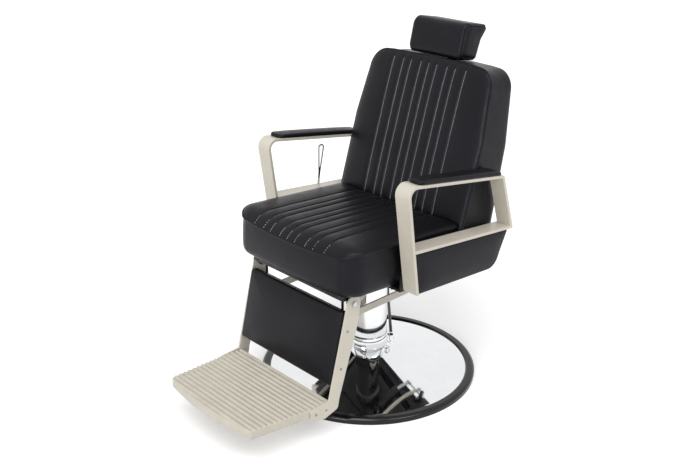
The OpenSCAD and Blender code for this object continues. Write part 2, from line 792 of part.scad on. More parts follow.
module back_cushion_solid() {
    half = back_w / 2;
    r = 60;
    lean = 15 / 140;
    a1 = 90 - atan(lean);
    cy = back_top - r;
    cx = half - (cy + r * cos(a1)) * lean - r * sin(a1);
    arc = [for (a = [0, 22, 44, 64, a1]) [cx + r * sin(a), cy + r * cos(a)]];
    rim = concat([[back_span, back_top + 1]], arc, [[half - 1, 10], [half, 0]]);
    outer = [for (p = rim) [p.x, -back_bottom + (p.x > half - 2 ? 12 : 0), p.y]];
    cols = concat([for (i = [len(outer) - 1:-1:1]) [-outer[i].x, outer[i].y, outer[i].z]],
        [for (x = seam_cols(back_span)) [x, -back_bottom, back_top + 4 - 3 * pow(x / cx, 2)]],
        outer);
    place = function(p) [p.x, p.y - min(0, p.z) * 0.19 * (p.y + back_bottom) /
                              (back_top + back_bottom), p.z];
    cushion(cols, 10, back_crown,
        [[0.04, -1], [0.3, 0], [0.7, 1], [0.95, 2], [1, 12]],
        thick = back_thick, seams = seams_x(back_span), seam = channel_depth, place = place);
}

module backrest_cushion() {
    color("#1a1a1c") difference() {
        back_frame() back_cushion_solid();
        both_sides() side_plate(arm_plate_x - 3.5, arm_plate_x + 3.5) arm_slot(0.5);
        guide_space(0.5);
    }
}

// Upper part of a back arm, as a [y, z] outline that grows by g
module arm_slot(g) {
    low = back_pivot + [4, 40];
    high = back_point(190.3 - back_bottom, 30.2 - back_t);
    strap(low, high, 14 + g, 12 + g);
}

module back_arm() {
    difference() {
        side_plate(arm_plate_x - 3, arm_plate_x + 3) union() {
            arm_slot(0);
            strap(back_pivot + [4, 40], back_pivot, 14, 19);
            strap(back_pivot, back_pin, 15, 11);
        }
        bar_x(8 + RUN, arm_plate_x - 10, arm_plate_x + 10, back_pivot);
    }
}

module back_arm_left() {
    color("#1c1c1c") back_arm();
}

module back_arm_right() {
    color("#1c1c1c") mirror([1, 0, 0]) back_arm();
}

// Pins on the back arms for the link bars and for the cylinder's rod
module back_arm_pins() {
    color("silver") {
        both_sides() bar_x(6, link_x - link_t / 2 - 4, arm_plate_x - 3, back_pin);
        bar_x(cyl_pin_r, cyl_x - 8, arm_plate_x - 3, cyl_rear);
    }
}

// ---------------------------------------------------------------- legrest

foot_rear = leg_pivot - [90, leg_drop];
foot_tilt = 2.9;
function by_foot(y, z, r) = [foot_rear.x + y, foot_rear.y + z, r];
plate_outline = rounded([
    [leg_pivot.x - 24, leg_pivot.y, 0], by_foot(-4, 4, 4), by_foot(-72, -1, 4),
    by_foot(-67, -32, 4), by_foot(-21, -47, 10), by_foot(29, -33, 12), by_foot(35, -3, 0),
    [leg_pivot.x + 17, leg_pivot.y - 56, 20], [leg_pivot.x + 24, leg_pivot.y, 0]]);

module leg_plate() {
    difference() {
        side_plate(leg_x, leg_x + leg_t) union() {
            polygon(plate_outline);
            translate(leg_pivot) circle(25);
        }
        bar_x(6 + RUN, leg_x - 5, leg_x + 10, leg_pivot);
        leg_holes(RUN);
    }
}

module leg_plate_left() {
    color("#cbc5b6") leg_plate();
}

module leg_plate_right() {
    color("#cbc5b6") mirror([1, 0, 0]) leg_plate();
}

// Side profile of the footrest: ribbed top and a flat lower edge
module foot_profile(down) {
    steps = foot_ribs * 8 + 10;
    long = foot_len + foot_bow;
    top = [for (i = [0:steps]) let (s = i / steps)
        [-s * long, -foot_rib_h * (1 - cos(360 * s * long / foot_len * foot_ribs)) / 2]];
    polygon(concat(top, [[-long, -down], [0, -down]]));
}

// Front edge of the footrest from left to right, half wide and bowed out from y
function foot_front(half, y) =
    [for (k = [-4:4]) [half * k / 4, y - foot_bow * (1 - pow(k / 4, 2)), abs(k) == 4 ? 6 : 0]];

module footrest() {
    wall = 6;
    rear = leg_x - GAP;
    front = foot_front_w / 2;
    edge = foot_front(front, -foot_len + 3);
    inner = foot_front(front - wall, -foot_len + 3 + wall);
    plan = rounded(concat([[rear - 0.3, -70, 0], [rear, 1, 0], [-rear, 1, 0], [-rear + 0.3, -70, 0]],
                          edge));
    color("#c8c2b2") translate([0, foot_rear.x, foot_rear.y]) rotate([-foot_tilt, 0, 0])
        difference() {
            intersection() {
                translate([0, 0, -foot_h]) linear_extrude(foot_h + 10) polygon(plan);
                side_plate(-300, 300) foot_profile(foot_h);
            }
            translate([0, 0, -foot_h - 1]) linear_extrude(foot_h - foot_rib_h - 5 + 1)
                polygon(concat([[rear - wall - 1, -70], [rear - wall, -wall], [-rear + wall, -wall],
                                [-rear + wall + 1, -70]], [for (p = inner) [p.x, p.y]]));
            translate([0, 0, 0]) rotate([foot_tilt, 0, 0])
                translate([0, -foot_rear.x, -foot_rear.y]) both_sides() leg_holes(RUN);
        }
}

// Frame of the calf pad: local Y up along the pad and local Z out to the front
calf_mid = leg_pivot - [63, 119.5];
calf_lean = 13.3;
calf_half = 109;
function calf_point(along, out) =
    calf_mid + along * [sin(calf_lean), cos(calf_lean)] + out * [-cos(calf_lean), sin(calf_lean)];
module calf_frame() {
    translate([0, calf_mid.x, calf_mid.y]) rotate([90 - calf_lean, 0, 0]) children();
}

module calf_pad() {
    half = leg_x - 1;
    xs = [for (x = [-1, -0.985, -0.94, -0.8, -0.5, 0, 0.5, 0.8, 0.94, 0.985, 1]) x * half];
    cols = [for (x = xs) let (c = abs(x) > half * 0.98 ? 6 : 0) [x, -calf_half + c, calf_half - c]];
    color("#1a1a1c") calf_frame()
        cushion(cols, 9, 9, [[3, -0.6], [calf_t - 8, 0], [calf_t - 6 - 0.1, 3]]);
}

module calf_board() {
    half = leg_x - GAP;
    color("#1c1c1c") difference() {
        calf_frame() translate([-half, -calf_half + 6, -calf_t])
            cube([2 * half, 2 * calf_half - 12, 6]);
        both_sides() leg_holes(RUN);
    }
}

module cross_rod() {
    color("silver") bar_x(7, -leg_x, leg_x, leg_pin);
}

// Screws through a side plate: two into the calf board, two into the footrest's rim
calf_screws = [calf_point(52, 3 - calf_t), calf_point(-58, 3 - calf_t)];
foot_screws = [foot_rear - [52, 20], foot_rear - [15, 21]];
module leg_holes(grow, deep = 1) {
    for (p = calf_screws) bar_x(2 + grow, leg_x - 8 - deep, leg_x + leg_t + 1, p);
    for (p = foot_screws) bar_x(2.5 + grow, leg_x - 6 - deep, leg_x + leg_t + 1, p);
}

module leg_screws() {
    out = leg_x + leg_t;
    color("silver") both_sides() {
        leg_holes(0, deep = 0);
        for (p = concat(calf_screws, foot_screws)) bar_x(4.5, out, out + 2.5, p);
    }
}

// ---------------------------------------------------------------- linkage

module link_bar() {
    difference() {
        side_plate(link_x - link_t / 2, link_x + link_t / 2)
            strap(leg_pin, back_pin, link_h / 2, link_h / 2);
        bar_x(7 + RUN, link_x - 10, link_x + 10, leg_pin);
        bar_x(6 + GAP, link_x - 10, link_x + 10, back_pin);
    }
}

module link_bar_left() {
    color("#cbc5b6") link_bar();
}

module link_bar_right() {
    color("#cbc5b6") mirror([1, 0, 0]) link_bar();
}

// Frame of the recline cylinder: origin at its front pin, +X towards its rear pin
cyl_span = norm(cyl_rear - cyl_front);
module cylinder_frame() {
    a = atan2(cyl_rear.y - cyl_front.y, cyl_rear.x - cyl_front.x);
    translate([cyl_x, cyl_front.x, cyl_front.y]) rotate([a, 0, 0]) rotate([0, 0, 90]) children();
}

module recline_barrel() {
    color("#202022") difference() {
        union() {
            cylinder_frame() translate([15, 0, 0]) rotate([0, 90, 0]) cylinder(h = 135, r = cyl_r);
            cylinder_frame() rotate([90, 0, 0]) cylinder(h = 11, r = 9, center = true);
            cylinder_frame() translate([0, -4, -6]) cube([20, 8, 12]);
        }
        bar_x(cyl_pin_r + RUN, cyl_x - 20, cyl_x + 20, cyl_front);
        cylinder_frame() translate([40, 0, 0]) rotate([0, 90, 0]) cylinder(h = 160, r = 5 + RUN);
    }
}

module recline_rod() {
    eye = cyl_pin_r + 1.6;
    color("silver") difference() {
        union() {
            cylinder_frame() translate([90, 0, 0]) rotate([0, 90, 0])
                cylinder(h = cyl_span - 90 - eye - 1, r = 5);
            cylinder_frame() translate([cyl_span, 0, 0]) rotate([90, 0, 0])
                cylinder(h = 13, r = eye + 4, center = true);
        }
        cylinder_frame() translate([cyl_span, 0, 0]) rotate([90, 0, 0])
            cylinder(h = 20, r = eye, center = true);
    }
}

// ---------------------------------------------------------------- headrest

// Frame of the post: origin where it leaves the backrest, +Z up along the post
post_lean = back_lean - 6;
post_foot = back_point(back_top + 17.1, 29.1 - back_t);
post_base = [0, post_foot.x, post_foot.y];
module post_frame() {
    translate(post_base) rotate([-post_lean, 0, 0]) children();
}
tilt_up = 32;
tilt_pivot = [post_base.y + tilt_up * sin(post_lean), post_base.z + tilt_up * cos(post_lean)];

// Space for the guide, open at the back of the backrest
module guide_space(g) {
    post_frame() translate([-post_w / 2 - 4 - g, -post_t / 2 - 4 - g, -200])
        cube([post_w + 8 + 2 * g, post_t + 40, 260]);
}

module headrest_guide() {
    color("#1c1c1c") post_frame() difference() {
        translate([-post_w / 2 - 4, -post_t / 2 - 4, -198])
            cube([post_w + 8, post_t + 8, 200]);
        translate([-post_w / 2 - 0.1, -post_t / 2 - 0.1, -194])
            cube([post_w + 0.2, post_t + 0.2, 260]);
    }
}

module headrest_post() {
    color("gainsboro") difference() {
        union() {
            post_frame() translate([-post_w / 2, -post_t / 2, -190])
                cube([post_w, post_t, 190 + tilt_up - 6]);
            bar_x(8, -post_w / 2 + 0.5, post_w / 2 - 0.5, tilt_pivot);
        }
        bar_x(4 + RUN, -post_w, post_w, tilt_pivot);
    }
}

// Plate on the headrest's back, with two ears that hold the tilt pin
module headrest_carrier() {
    low = [head_back[1].x, head_back[1].y];
    d = unit([head_back[0].x, head_back[0].y] - low);
    out = [d.y, -d.x];
    color("gainsboro") difference() {
        union() {
            side_plate(-head_w / 2 + 12, head_w / 2 - 12)
                polygon([low + 8 * d + SOFT * out, low + 54 * d + SOFT * out,
                         low + 54 * d + 3.5 * out, low + 8 * d + 3.5 * out]);
            both_sides() side_plate(post_w / 2 + GAP, post_w / 2 + 5) union() {
                translate(tilt_pivot) circle(8);
                polygon([tilt_pivot - 8 * d, tilt_pivot + 8 * d,
                         low + 44 * d + 2 * out, low + 12 * d + 2 * out]);
            }
        }
        bar_x(4 + 0.02, -post_w, post_w, tilt_pivot);
    }
}

module tilt_pin() {
    color("silver") bar_x(4, -post_w / 2 - 8, post_w / 2 + 8, tilt_pivot);
}

// Lower back face of the headrest, upper end first, and its whole section
function by_post(y, z, r) = [post_foot.x + y, post_foot.y + z, r];
head_back = [by_post(6, 66, 20), by_post(-16, 7, 8)];
head_section = rounded([by_post(-90, 17, 18), by_post(-64, 120, 24), by_post(37, 103, 7),
    head_back[0], head_back[1]], 5);

module headrest_cushion() {
    mid = post_foot + [-38, 67];
    half = head_w / 2;
    ends = [[-half, 0.8], [-half + 3, 0.93], [-half + 9, 1], [half - 9, 1], [half - 3, 0.93],
            [half, 0.8]];
    n = len(head_section);
    rings = [for (e = ends) for (p = head_section)
        let (q = mid + (p - mid) * e.y) [e.x, q.x, q.y]];
    caps = [[-half, mid.x, mid.y], [half, mid.x, mid.y]];
    last = (len(ends) - 1) * n;
    faces = concat(
        [for (k = [0:len(ends) - 2]) for (i = [0:n - 1])
            let (a = k * n + i, b = k * n + (i + 1) % n)
            each [[a, b, b + n], [a, b + n, a + n]]],
        [for (i = [0:n - 1]) [(i + 1) % n, i, len(rings)]],
        [for (i = [0:n - 1]) [last + i, last + (i + 1) % n, len(rings) + 1]]);
    color("#151517") polyhedron(concat(rings, caps), faces, convexity = 4);
}

base_plate();
base_cover();
base_trim_ring();
pump_housing();
housing_bolts();
gland_nut();
pump_collar();
collar_screw();
pump_shaft();
pump_lever();
pedal_sleeve();
lift_ram();
column_sleeve();
thrust_washer();
swivel_hub();
hub_bolts();
chassis_plate();
chassis_rail_left();
chassis_rail_right();
crossmember_front();
crossmember_rear();
arm_bar_front();
arm_bar_rear();
arm_bolts();
legrest_brackets();
pivot_bolts();
stop_rods();
stop_buffers();
back_brackets();
cylinder_bracket();
seat_cushion();
seat_board();
arm_frame_left();
arm_frame_right();
arm_pad_left();
arm_pad_right();
side_panel_left();
side_panel_right();
lever_bearing();
recline_lever();
backrest_cushion();
back_arm_left();
back_arm_right();
back_arm_pins();
headrest_guide();
headrest_post();
headrest_carrier();
tilt_pin();
headrest_cushion();
leg_plate_left();
leg_plate_right();
footrest();
calf_pad();
calf_board();
cross_rod();
leg_screws();
link_bar_left();
link_bar_right();
recline_barrel();
recline_rod();
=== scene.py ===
"""Finished surfaces of a hydraulic barber chair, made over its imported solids.

The sitter faces -Y, the sitter's left is +X and Z is up. Sizes in the classes are
millimetres, and the studio's are metres; meshes are metres, in the solids' frame.
"""

from __future__ import annotations

import json
import logging
import math
from collections.abc import Callable, Sequence
from dataclasses import dataclass, field
from enum import Enum, IntEnum

import bmesh
import bpy
import numpy as np
from mathutils import Matrix, Vector, noise
from mathutils.geometry import delaunay_2d_cdt
from mathutils.kdtree import KDTree

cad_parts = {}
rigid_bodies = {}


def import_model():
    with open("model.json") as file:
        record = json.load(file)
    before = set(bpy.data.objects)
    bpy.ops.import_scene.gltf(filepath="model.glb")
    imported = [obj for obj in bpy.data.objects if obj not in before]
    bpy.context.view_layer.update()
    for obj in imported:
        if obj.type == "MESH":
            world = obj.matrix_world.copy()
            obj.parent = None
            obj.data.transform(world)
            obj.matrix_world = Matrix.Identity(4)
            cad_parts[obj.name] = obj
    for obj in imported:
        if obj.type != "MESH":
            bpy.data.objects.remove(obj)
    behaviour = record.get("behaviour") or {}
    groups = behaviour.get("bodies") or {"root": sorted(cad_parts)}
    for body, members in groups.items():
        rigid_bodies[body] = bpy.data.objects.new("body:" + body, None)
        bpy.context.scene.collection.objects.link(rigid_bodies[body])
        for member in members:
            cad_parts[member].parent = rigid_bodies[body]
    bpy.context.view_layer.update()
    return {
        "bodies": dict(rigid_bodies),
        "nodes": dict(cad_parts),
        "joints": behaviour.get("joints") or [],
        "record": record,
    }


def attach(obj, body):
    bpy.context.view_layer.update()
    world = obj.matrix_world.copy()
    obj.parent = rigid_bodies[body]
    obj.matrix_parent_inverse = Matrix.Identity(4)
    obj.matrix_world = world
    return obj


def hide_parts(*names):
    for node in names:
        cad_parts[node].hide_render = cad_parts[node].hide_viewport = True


log = logging.getLogger("barber_chair")

MM = 0.001
WHITE = (1.0, 1.0, 1.0, 1.0)
CHAMPAGNE = (0.578, 0.539, 0.456)
Point = tuple[float, float]
Corner = tuple[float, float, float]
Triple = tuple[float, float, float]
Placing = Callable[[np.ndarray], np.ndarray]
Inputs = dict[str | int, object]
Ring = Sequence[bmesh.types.BMVert]


class Slot(Enum):
    """Material slots of the chair."""

    UPHOLSTERY = "upholstery"
    FRAME_PAINT = "frame_paint"
    CHASSIS_PAINT = "chassis_paint"
    TRIM_BLACK = "trim_black"
    CHROME = "chrome"
    STEEL = "steel"
    CAST_IRON = "cast_iron"
    CAST_ALUMINIUM = "cast_aluminium"
    BRONZE = "bronze"
    RUBBER = "rubber"
    PLYWOOD = "plywood"


# ---- sizes


@dataclass(frozen=True)
class Layout:
    """Main sizes of the chair, the same as its solids have."""

    seat_z: float = 395.3
    seat_pitch: float = 3.3
    seat_w: float = 496.0
    seat_front: float = 325.0
    seat_rear: float = 108.0
    seat_h: float = 122.0
    arm_x: float = 263.0
    arm_w: float = 52.0
    arm_t: float = 9.0
    arm_front: float = -123.0
    arm_lean: float = 0.1395
    arm_foot: float = 3.7
    back_lean: float = 17.0
    back_origin: Point = (193.981, 742.252)
    leg_pivot: Point = (-255.0, 380.0)
    leg_pin: Point = (-255.0, 309.0)
    back_pin: Point = (205.0, 317.0)
    leg_x: float = 202.0
    leg_t: float = 5.0
    foot_rear: Point = (-345.0, 111.0)
    foot_tilt: float = 2.9
    calf_mid: Point = (-318.0, 260.5)
    calf_lean: float = 13.3
    post_foot: Point = (345.979, 935.349)
    shaft_dir: float = 47.4

    def arm_front_y(self, up: float) -> float:
        """Front face of an arm's front leg at a height above the seat's level."""
        return self.arm_front - (up - self.arm_foot) * self.arm_lean

    def arm_loop(self) -> list[Corner]:
        """Outside of an arm's bent bar.

        Returns:
            (y, z, radius) of each corner.
        """
        z = self.seat_z
        return [
            (self.arm_front_y(326), z + 326.5, 30),
            (229, z + 267, 12),
            (284.5, z + 90.7, 4),
            (self.arm_front_y(128.7), z + 128.7, 0),
        ]


LAYOUT = Layout()

FRAME: dict[str, object] = {}
BODY_OF: dict[str, str] = {}
SLOT_OF: dict[str, Slot] = {}

# Width of the rounded edges of each solid that keeps its shape, in millimetres.
FINE: dict[str, float] = {
    "recline_lever": 1.0, "lever_bearing": 0.6, "headrest_post": 0.8, "headrest_carrier": 0.6,
    "headrest_guide": 1.0, "chassis_rail_left": 1.2, "chassis_rail_right": 1.2, "crossmember_front": 1.0,
    "crossmember_rear": 1.0, "arm_bar_front": 0.8, "arm_bar_rear": 0.8, "chassis_plate": 1.0,
    "swivel_hub": 1.4, "back_brackets": 0.8, "legrest_brackets": 0.7, "back_arm_left": 0.8,
    "back_arm_right": 0.8, "recline_barrel": 0.9, "recline_rod": 0.5, "pivot_bolts": 0.5, "arm_bolts": 0.4,
    "cylinder_bracket": 0.6, "back_arm_pins": 0.5, "stop_buffers": 0.9, "calf_board": 0.6,
    "pump_shaft": 0.6, "tilt_pin": 0.5,
}


class Place:
    """A turned and moved frame that takes local millimetres to metres."""

    def __init__(self, origin: Triple, tilt: float) -> None:
        """Sets the frame.

        Args:
            origin: where the local origin lies.
            tilt: turn about X in degrees.
        """
        self.matrix = Matrix.Translation(origin) @ Matrix.Rotation(math.radians(tilt), 4, "X")
        self.metres = Matrix.Scale(MM, 4) @ self.matrix

    def __call__(self, points: np.ndarray) -> np.ndarray:
        """Points in this frame, as metres in the chair's frame."""
        rows = np.array(self.metres)
        return points @ rows[:3, :3].T + rows[:3, 3]


# ---- objects and nodes


def placed(name: str, data: bpy.types.ID) -> bpy.types.Object:
    """A new object in the scene that holds a mesh, a lamp or a camera.

    Args:
        name: the object's name.
        data: what it holds.

    Returns:
        The object.
    """
    piece = bpy.data.objects.new(name, data)
    bpy.context.scene.collection.objects.link(piece)
    return piece


def opened(mesh: bpy.types.Mesh) -> bmesh.types.BMesh:
    """A copy of a mesh that can be edited.

    Args:
        mesh: the mesh, which stays as it is.

    Returns:
        The copy.
    """
    bm = bmesh.new()
    bm.from_mesh(mesh)
    return bm


def evaluated(source: bpy.types.Object) -> bpy.types.Mesh:
    """A plain mesh of an object as its modifiers leave it."""
    graph = bpy.context.evaluated_depsgraph_get()
    return bpy.data.meshes.new_from_object(source.evaluated_get(graph))


def nearest(points: np.ndarray) -> KDTree:
    """A tree that finds the points nearest to a place.

    Args:
        points: the points that it holds.

    Returns:
        The tree.
    """
    tree = KDTree(len(points))
    for i, point in enumerate(points):
        tree.insert(point, i)
    tree.balance()
    return tree


def add_node(tree: bpy.types.NodeTree, kind: str, inputs: Inputs | None = None,
             **settings: object) -> bpy.types.Node:
    """Adds a node to a tree.

    Args:
        tree: the tree that gets it.
        kind: the node's type.
        inputs: a socket to link, or a value, for each named or numbered input.
        settings: the node's own settings.

    Returns:
        The node.
    """
    node = tree.nodes.new(kind)
    for key, value in settings.items():
        setattr(node, key, value)
    for key, value in (inputs or {}).items():
        if isinstance(value, bpy.types.NodeSocket):
            tree.links.new(value, node.inputs[key])
        else:
            node.inputs[key].default_value = value
    return node


def background_rays(tree: bpy.types.NodeTree) -> bpy.types.NodeSocket:
    """The rays that see the background: the camera's, and those off gloss and through glass.

    Args:
        tree: the tree of a material or a world.

    Returns:
        A socket that is 1 for those rays and 0 for the others.
    """
    path = add_node(tree, "ShaderNodeLightPath")
    shown = path.outputs["Is Camera Ray"]
    for ray in ("Is Glossy Ray", "Is Transmission Ray"):
        either = add_node(tree, "ShaderNodeMath", {0: shown, 1: path.outputs[ray]}, operation="MAXIMUM")
        shown = either.outputs[0]
    return shown


# ---- outlines


def mirrored(points: Sequence[Point]) -> list[Point]:
    """The points of a chain on the other side of the middle, in reverse order."""
    return [(-x, y) for x, y in reversed(points)]


def arched(half: float, top: float, radius: float, turn: int = 15) -> list[Point]:
    """Upper chain of a panel with two round corners, from left to right.

    Args:
        half: half of the panel's width.
        top: height of its upper edge.
        radius: radius of the corners.
        turn: degrees from point to point.

    Returns:
        The chain's points.
    """
    arc = [math.radians(a) for a in range(0, 91, turn)]
    left = [(-half + radius - radius * math.cos(a), top - radius + radius * math.sin(a)) for a in arc]
    return left + mirrored(left)


def rounded(corners: Sequence[Corner], steps: int = 9) -> list[Point]:
    """Closed outline with rounded corners.

    Args:
        corners: (x, y, radius) of each corner.
        steps: chords in each rounded corner.

    Returns:
        The outline's points.
    """
    out: list[Point] = []
    for i, (x, y, radius) in enumerate(corners):
        tip = Vector((x, y))
        if radius <= 0:
            out.append((x, y))
            continue
        back = (Vector(corners[i - 1][:2]) - tip).normalized()
        ahead = (Vector(corners[(i + 1) % len(corners)][:2]) - tip).normalized()
        half = back.angle(ahead) / 2
        centre = tip + (back + ahead).normalized() * radius / math.sin(half)
        first = tip + back * radius / math.tan(half) - centre
        last = tip + ahead * radius / math.tan(half) - centre
        start = math.atan2(first.y, first.x)
        sweep = (math.atan2(last.y, last.x) - start + 3 * math.pi) % (2 * math.pi) - math.pi
        for k in range(steps + 1):
            angle = start + sweep * k / steps
            out.append((centre.x + radius * math.cos(angle), centre.y + radius * math.sin(angle)))
    return out


def inset_corners(corners: Sequence[Corner], depth: float, least: float = 1.0) -> list[Corner]:
    """The same corners moved inwards, with their radii reduced to suit.

    Args:
        corners: (x, y, radius) of each corner.
        depth: how far they move.
        least: smallest radius that is left.

    Returns:
        The moved corners.
    """
    out: list[Corner] = []
    for i, (x, y, radius) in enumerate(corners):
        tip = Vector((x, y))
        back = (Vector(corners[i - 1][:2]) - tip).normalized()
        ahead = (Vector(corners[(i + 1) % len(corners)][:2]) - tip).normalized()
        move = (back + ahead).normalized() * depth / math.sin(back.angle(ahead) / 2)
        out.append((x + move.x, y + move.y, max(radius - depth, least)))
    return out


def area(points: np.ndarray) -> float:
    """Signed area of a closed outline, positive where it runs anticlockwise."""
    x, y = points[:, 0], points[:, 1]
    return float(np.sum(x * np.roll(y, -1) - np.roll(x, -1) * y) / 2)


def offset(points: np.ndarray, distance: float) -> np.ndarray:
    """A closed outline moved to the left of its own direction.

    Args:
        points: the outline.
        distance: how far it moves.

    Returns:
        The moved outline.
    """
    before = points - np.roll(points, 1, axis=0)
    after = np.roll(points, -1, axis=0) - points
    before = before / np.linalg.norm(before, axis=1)[:, None]
    after = after / np.linalg.norm(after, axis=1)[:, None]
    mitre = before + after
    mitre = mitre / np.linalg.norm(mitre, axis=1)[:, None]
    normal = np.stack([-mitre[:, 1], mitre[:, 0]], axis=1)
    cosine = np.clip(np.sum(mitre * before, axis=1), 0.5, 1)
    return points + normal * (distance / cosine)[:, None]


def resample(points: Sequence[Point], step: float) -> np.ndarray:
    """Points an even distance apart along a closed outline.

    Args:
        points: the outline.
        step: wanted distance between points.

    Returns:
        An array with a row for each point.
    """
    line = np.array([*points, points[0]], dtype=float)
    run = np.concatenate([[0], np.cumsum(np.linalg.norm(np.diff(line, axis=0), axis=1))])
    count = max(3, round(run[-1] / step))
    at = np.linspace(0, run[-1], count + 1)
    out = np.stack([np.interp(at, run, line[:, i]) for i in range(line.shape[1])], axis=1)
    return out[:-1]


def distance_to(points: np.ndarray, outline: np.ndarray) -> np.ndarray:
    """Distance of each point from a closed outline.

    Args:
        points: flat points.
        outline: the outline.

    Returns:
        A distance for each point.
    """
    out = np.full(len(points), np.inf)
    ends = np.roll(outline, -1, axis=0)
    for a, b in zip(outline, ends):
        along = b - a
        t = np.clip(((points - a) @ along) / max(float(along @ along), 1e-9), 0, 1)
        out = np.minimum(out, np.linalg.norm(points - (a + t[:, None] * along), axis=1))
    return out


def within(points: np.ndarray, outlines: Sequence[np.ndarray]) -> np.ndarray:
    """Whether each point is inside an odd number of closed outlines.

    Args:
        points: flat points.
        outlines: the outlines.

    Returns:
        True or False for each point.
    """
    odd = np.zeros(len(points), dtype=bool)
    for outline in outlines:
        for a, b in zip(outline, np.roll(outline, -1, axis=0)):
            spans = (a[1] > points[:, 1]) != (b[1] > points[:, 1])
            if abs(b[1] - a[1]) < 1e-12:
                continue
            cut = (b[0] - a[0]) * (points[:, 1] - a[1]) / (b[1] - a[1]) + a[0]
            odd ^= spans & (points[:, 0] < cut)
    return odd


def triangles(outlines: Sequence[np.ndarray], inner: np.ndarray | None = None) -> np.ndarray:
    """Triangles that fill a flat face.

    Args:
        outlines: closed outlines; what lies in an odd number of them is filled.
        inner: further points inside.

    Returns:
        An array of triangles as indices into all the points in order.
    """
    points = np.concatenate([*outlines] + ([inner] if inner is not None and len(inner) else []))
    edges: list[tuple[int, int]] = []
    start = 0
    for outline in outlines:
        count = len(outline)
        edges += [(start + i, start + (i + 1) % count) for i in range(count)]
        start += count
    coords = [Vector((float(x), float(y))) for x, y in points]
    _, _, faces, origin, _, _ = delaunay_2d_cdt(coords, edges, [], 0, 1e-5)
    tris = np.array([[origin[i][0] for i in face] for face in faces])
    keep = within(points[tris].mean(axis=1), outlines)
    return tris[keep]


# ---- meshes


def bridge(bm: bmesh.types.BMesh, low: Ring, high: Ring) -> None:
    """Joins two closed rings of points with a band of faces.

    Args:
        bm: the mesh that holds the points.
        low: one ring.
        high: the other, with as many points.
    """
    for i in range(len(low)):
        k = (i + 1) % len(low)
        bm.faces.new((low[i], low[k], high[k], high[i]))


def finish_mesh(name: str, bm: bmesh.types.BMesh, sharp: float = 32.0) -> bpy.types.Object:
    """Turns a bmesh into a linked object with outward faces and smooth shading.

    Args:
        name: the object's name.
        bm: the mesh, which is freed.
        sharp: angle in degrees past which an edge stays sharp.

    Returns:
        The object.
    """
    bmesh.ops.recalc_face_normals(bm, faces=bm.faces)
    limit = math.radians(sharp)
    for edge in bm.edges:
        if len(edge.link_faces) == 2 and edge.calc_face_angle() > limit:
            edge.smooth = False
    for face in bm.faces:
        face.smooth = True
    mesh = bpy.data.meshes.new(name)
    bm.to_mesh(mesh)
    bm.free()
    return placed(name, mesh)


def plate(name: str, outlines: Sequence[Sequence[Point]], x0: float, x1: float, edge: float,
          rows: int = 3) -> bpy.types.Object:
    """A flat plate in a YZ plane whose edges are rounded over.

    Args:
        name: the object's name.
        outlines: the plate's outline as (y, z) points, then each hole's.
        x0: one face's place along X.
        x1: the other face's place along X.
        edge: radius of the rounded edges.
        rows: facets in a rounded edge.

    Returns:
        The object.
    """
    loops = []
    for i, outline in enumerate(outlines):
        points = np.array(outline, dtype=float)
        keep = np.linalg.norm(points - np.roll(points, 1, axis=0), axis=1) > 1e-3
        points = points[keep]
        if (area(points) > 0) != (i == 0):
            points = points[::-1]
        loops.append(points)
    arc = [math.pi / 2 * k / rows for k in range(rows + 1)]
    levels = [(x0 + edge * (1 - math.cos(a)), edge * (1 - math.sin(a))) for a in arc]
    levels += [(x0 + x1 - x, depth) for x, depth in reversed(levels)]
    bm = bmesh.new()
    ends: list[list[bmesh.types.BMVert]] = [[], []]
    faces_at: list[list[np.ndarray]] = [[], []]
    for points in loops:
        rings = []
        for x, depth in levels:
            shape = offset(points, depth) if depth > 1e-6 else points
            rings.append([bm.verts.new((x * MM, y * MM, z * MM)) for y, z in shape])
        for low, high in zip(rings, rings[1:]):
            bridge(bm, low, high)
        for ring in (rings[0], rings[rows], rings[-1 - rows], rings[-1]):
            for start, end in zip(ring, ring[1:] + ring[:1]):
                bm.edges.get((start, end)).smooth = False
        inner = offset(points, edge)
        for side, ring in ((0, rings[0]), (1, rings[-1])):
            ends[side] += ring
            faces_at[side].append(inner)
    for side in (0, 1):
        for tri in triangles(faces_at[side]):
            bm.faces.new([ends[side][i] for i in tri])
    return finish_mesh(name, bm)


def lathe(name: str, profile: Sequence[Point], segments: int) -> bpy.types.Object:
    """A closed profile of (radius, height) points turned about the column's axis.

    Args:
        name: the object's name.
        profile: the closed profile.
        segments: facets round the axis.

    Returns:
        The object.
    """
    bm = bmesh.new()
    rings = []
    for k in range(segments):
        a = 2 * math.pi * k / segments
        rings.append([bm.verts.new((r * math.cos(a) * MM, r * math.sin(a) * MM, z * MM)) for r, z in profile])
    for here, there in zip(rings, rings[1:] + rings[:1]):
        bridge(bm, here, there)
    return finish_mesh(name, bm)


def spindle(bm: bmesh.types.BMesh, profile: Sequence[Point], matrix: Matrix, segments: int = 40) -> None:
    """Adds a turned solid to a mesh.

    Args:
        bm: the mesh that gets it.
        profile: (along, radius) points from end to end.
        matrix: takes a local frame, whose X is the solid's axis, to metres.
        segments: facets round the axis.
    """
    rings = []
    for along, radius in profile:
        rings.append([
            bm.verts.new(matrix @ Vector((along, radius * math.cos(a), radius * math.sin(a))))
            for a in (2 * math.pi * k / segments for k in range(segments))
        ])
    for low, high in zip(rings, rings[1:]):
        bridge(bm, low, high)
    bm.faces.new(rings[0])
    bm.faces.new(rings[-1])


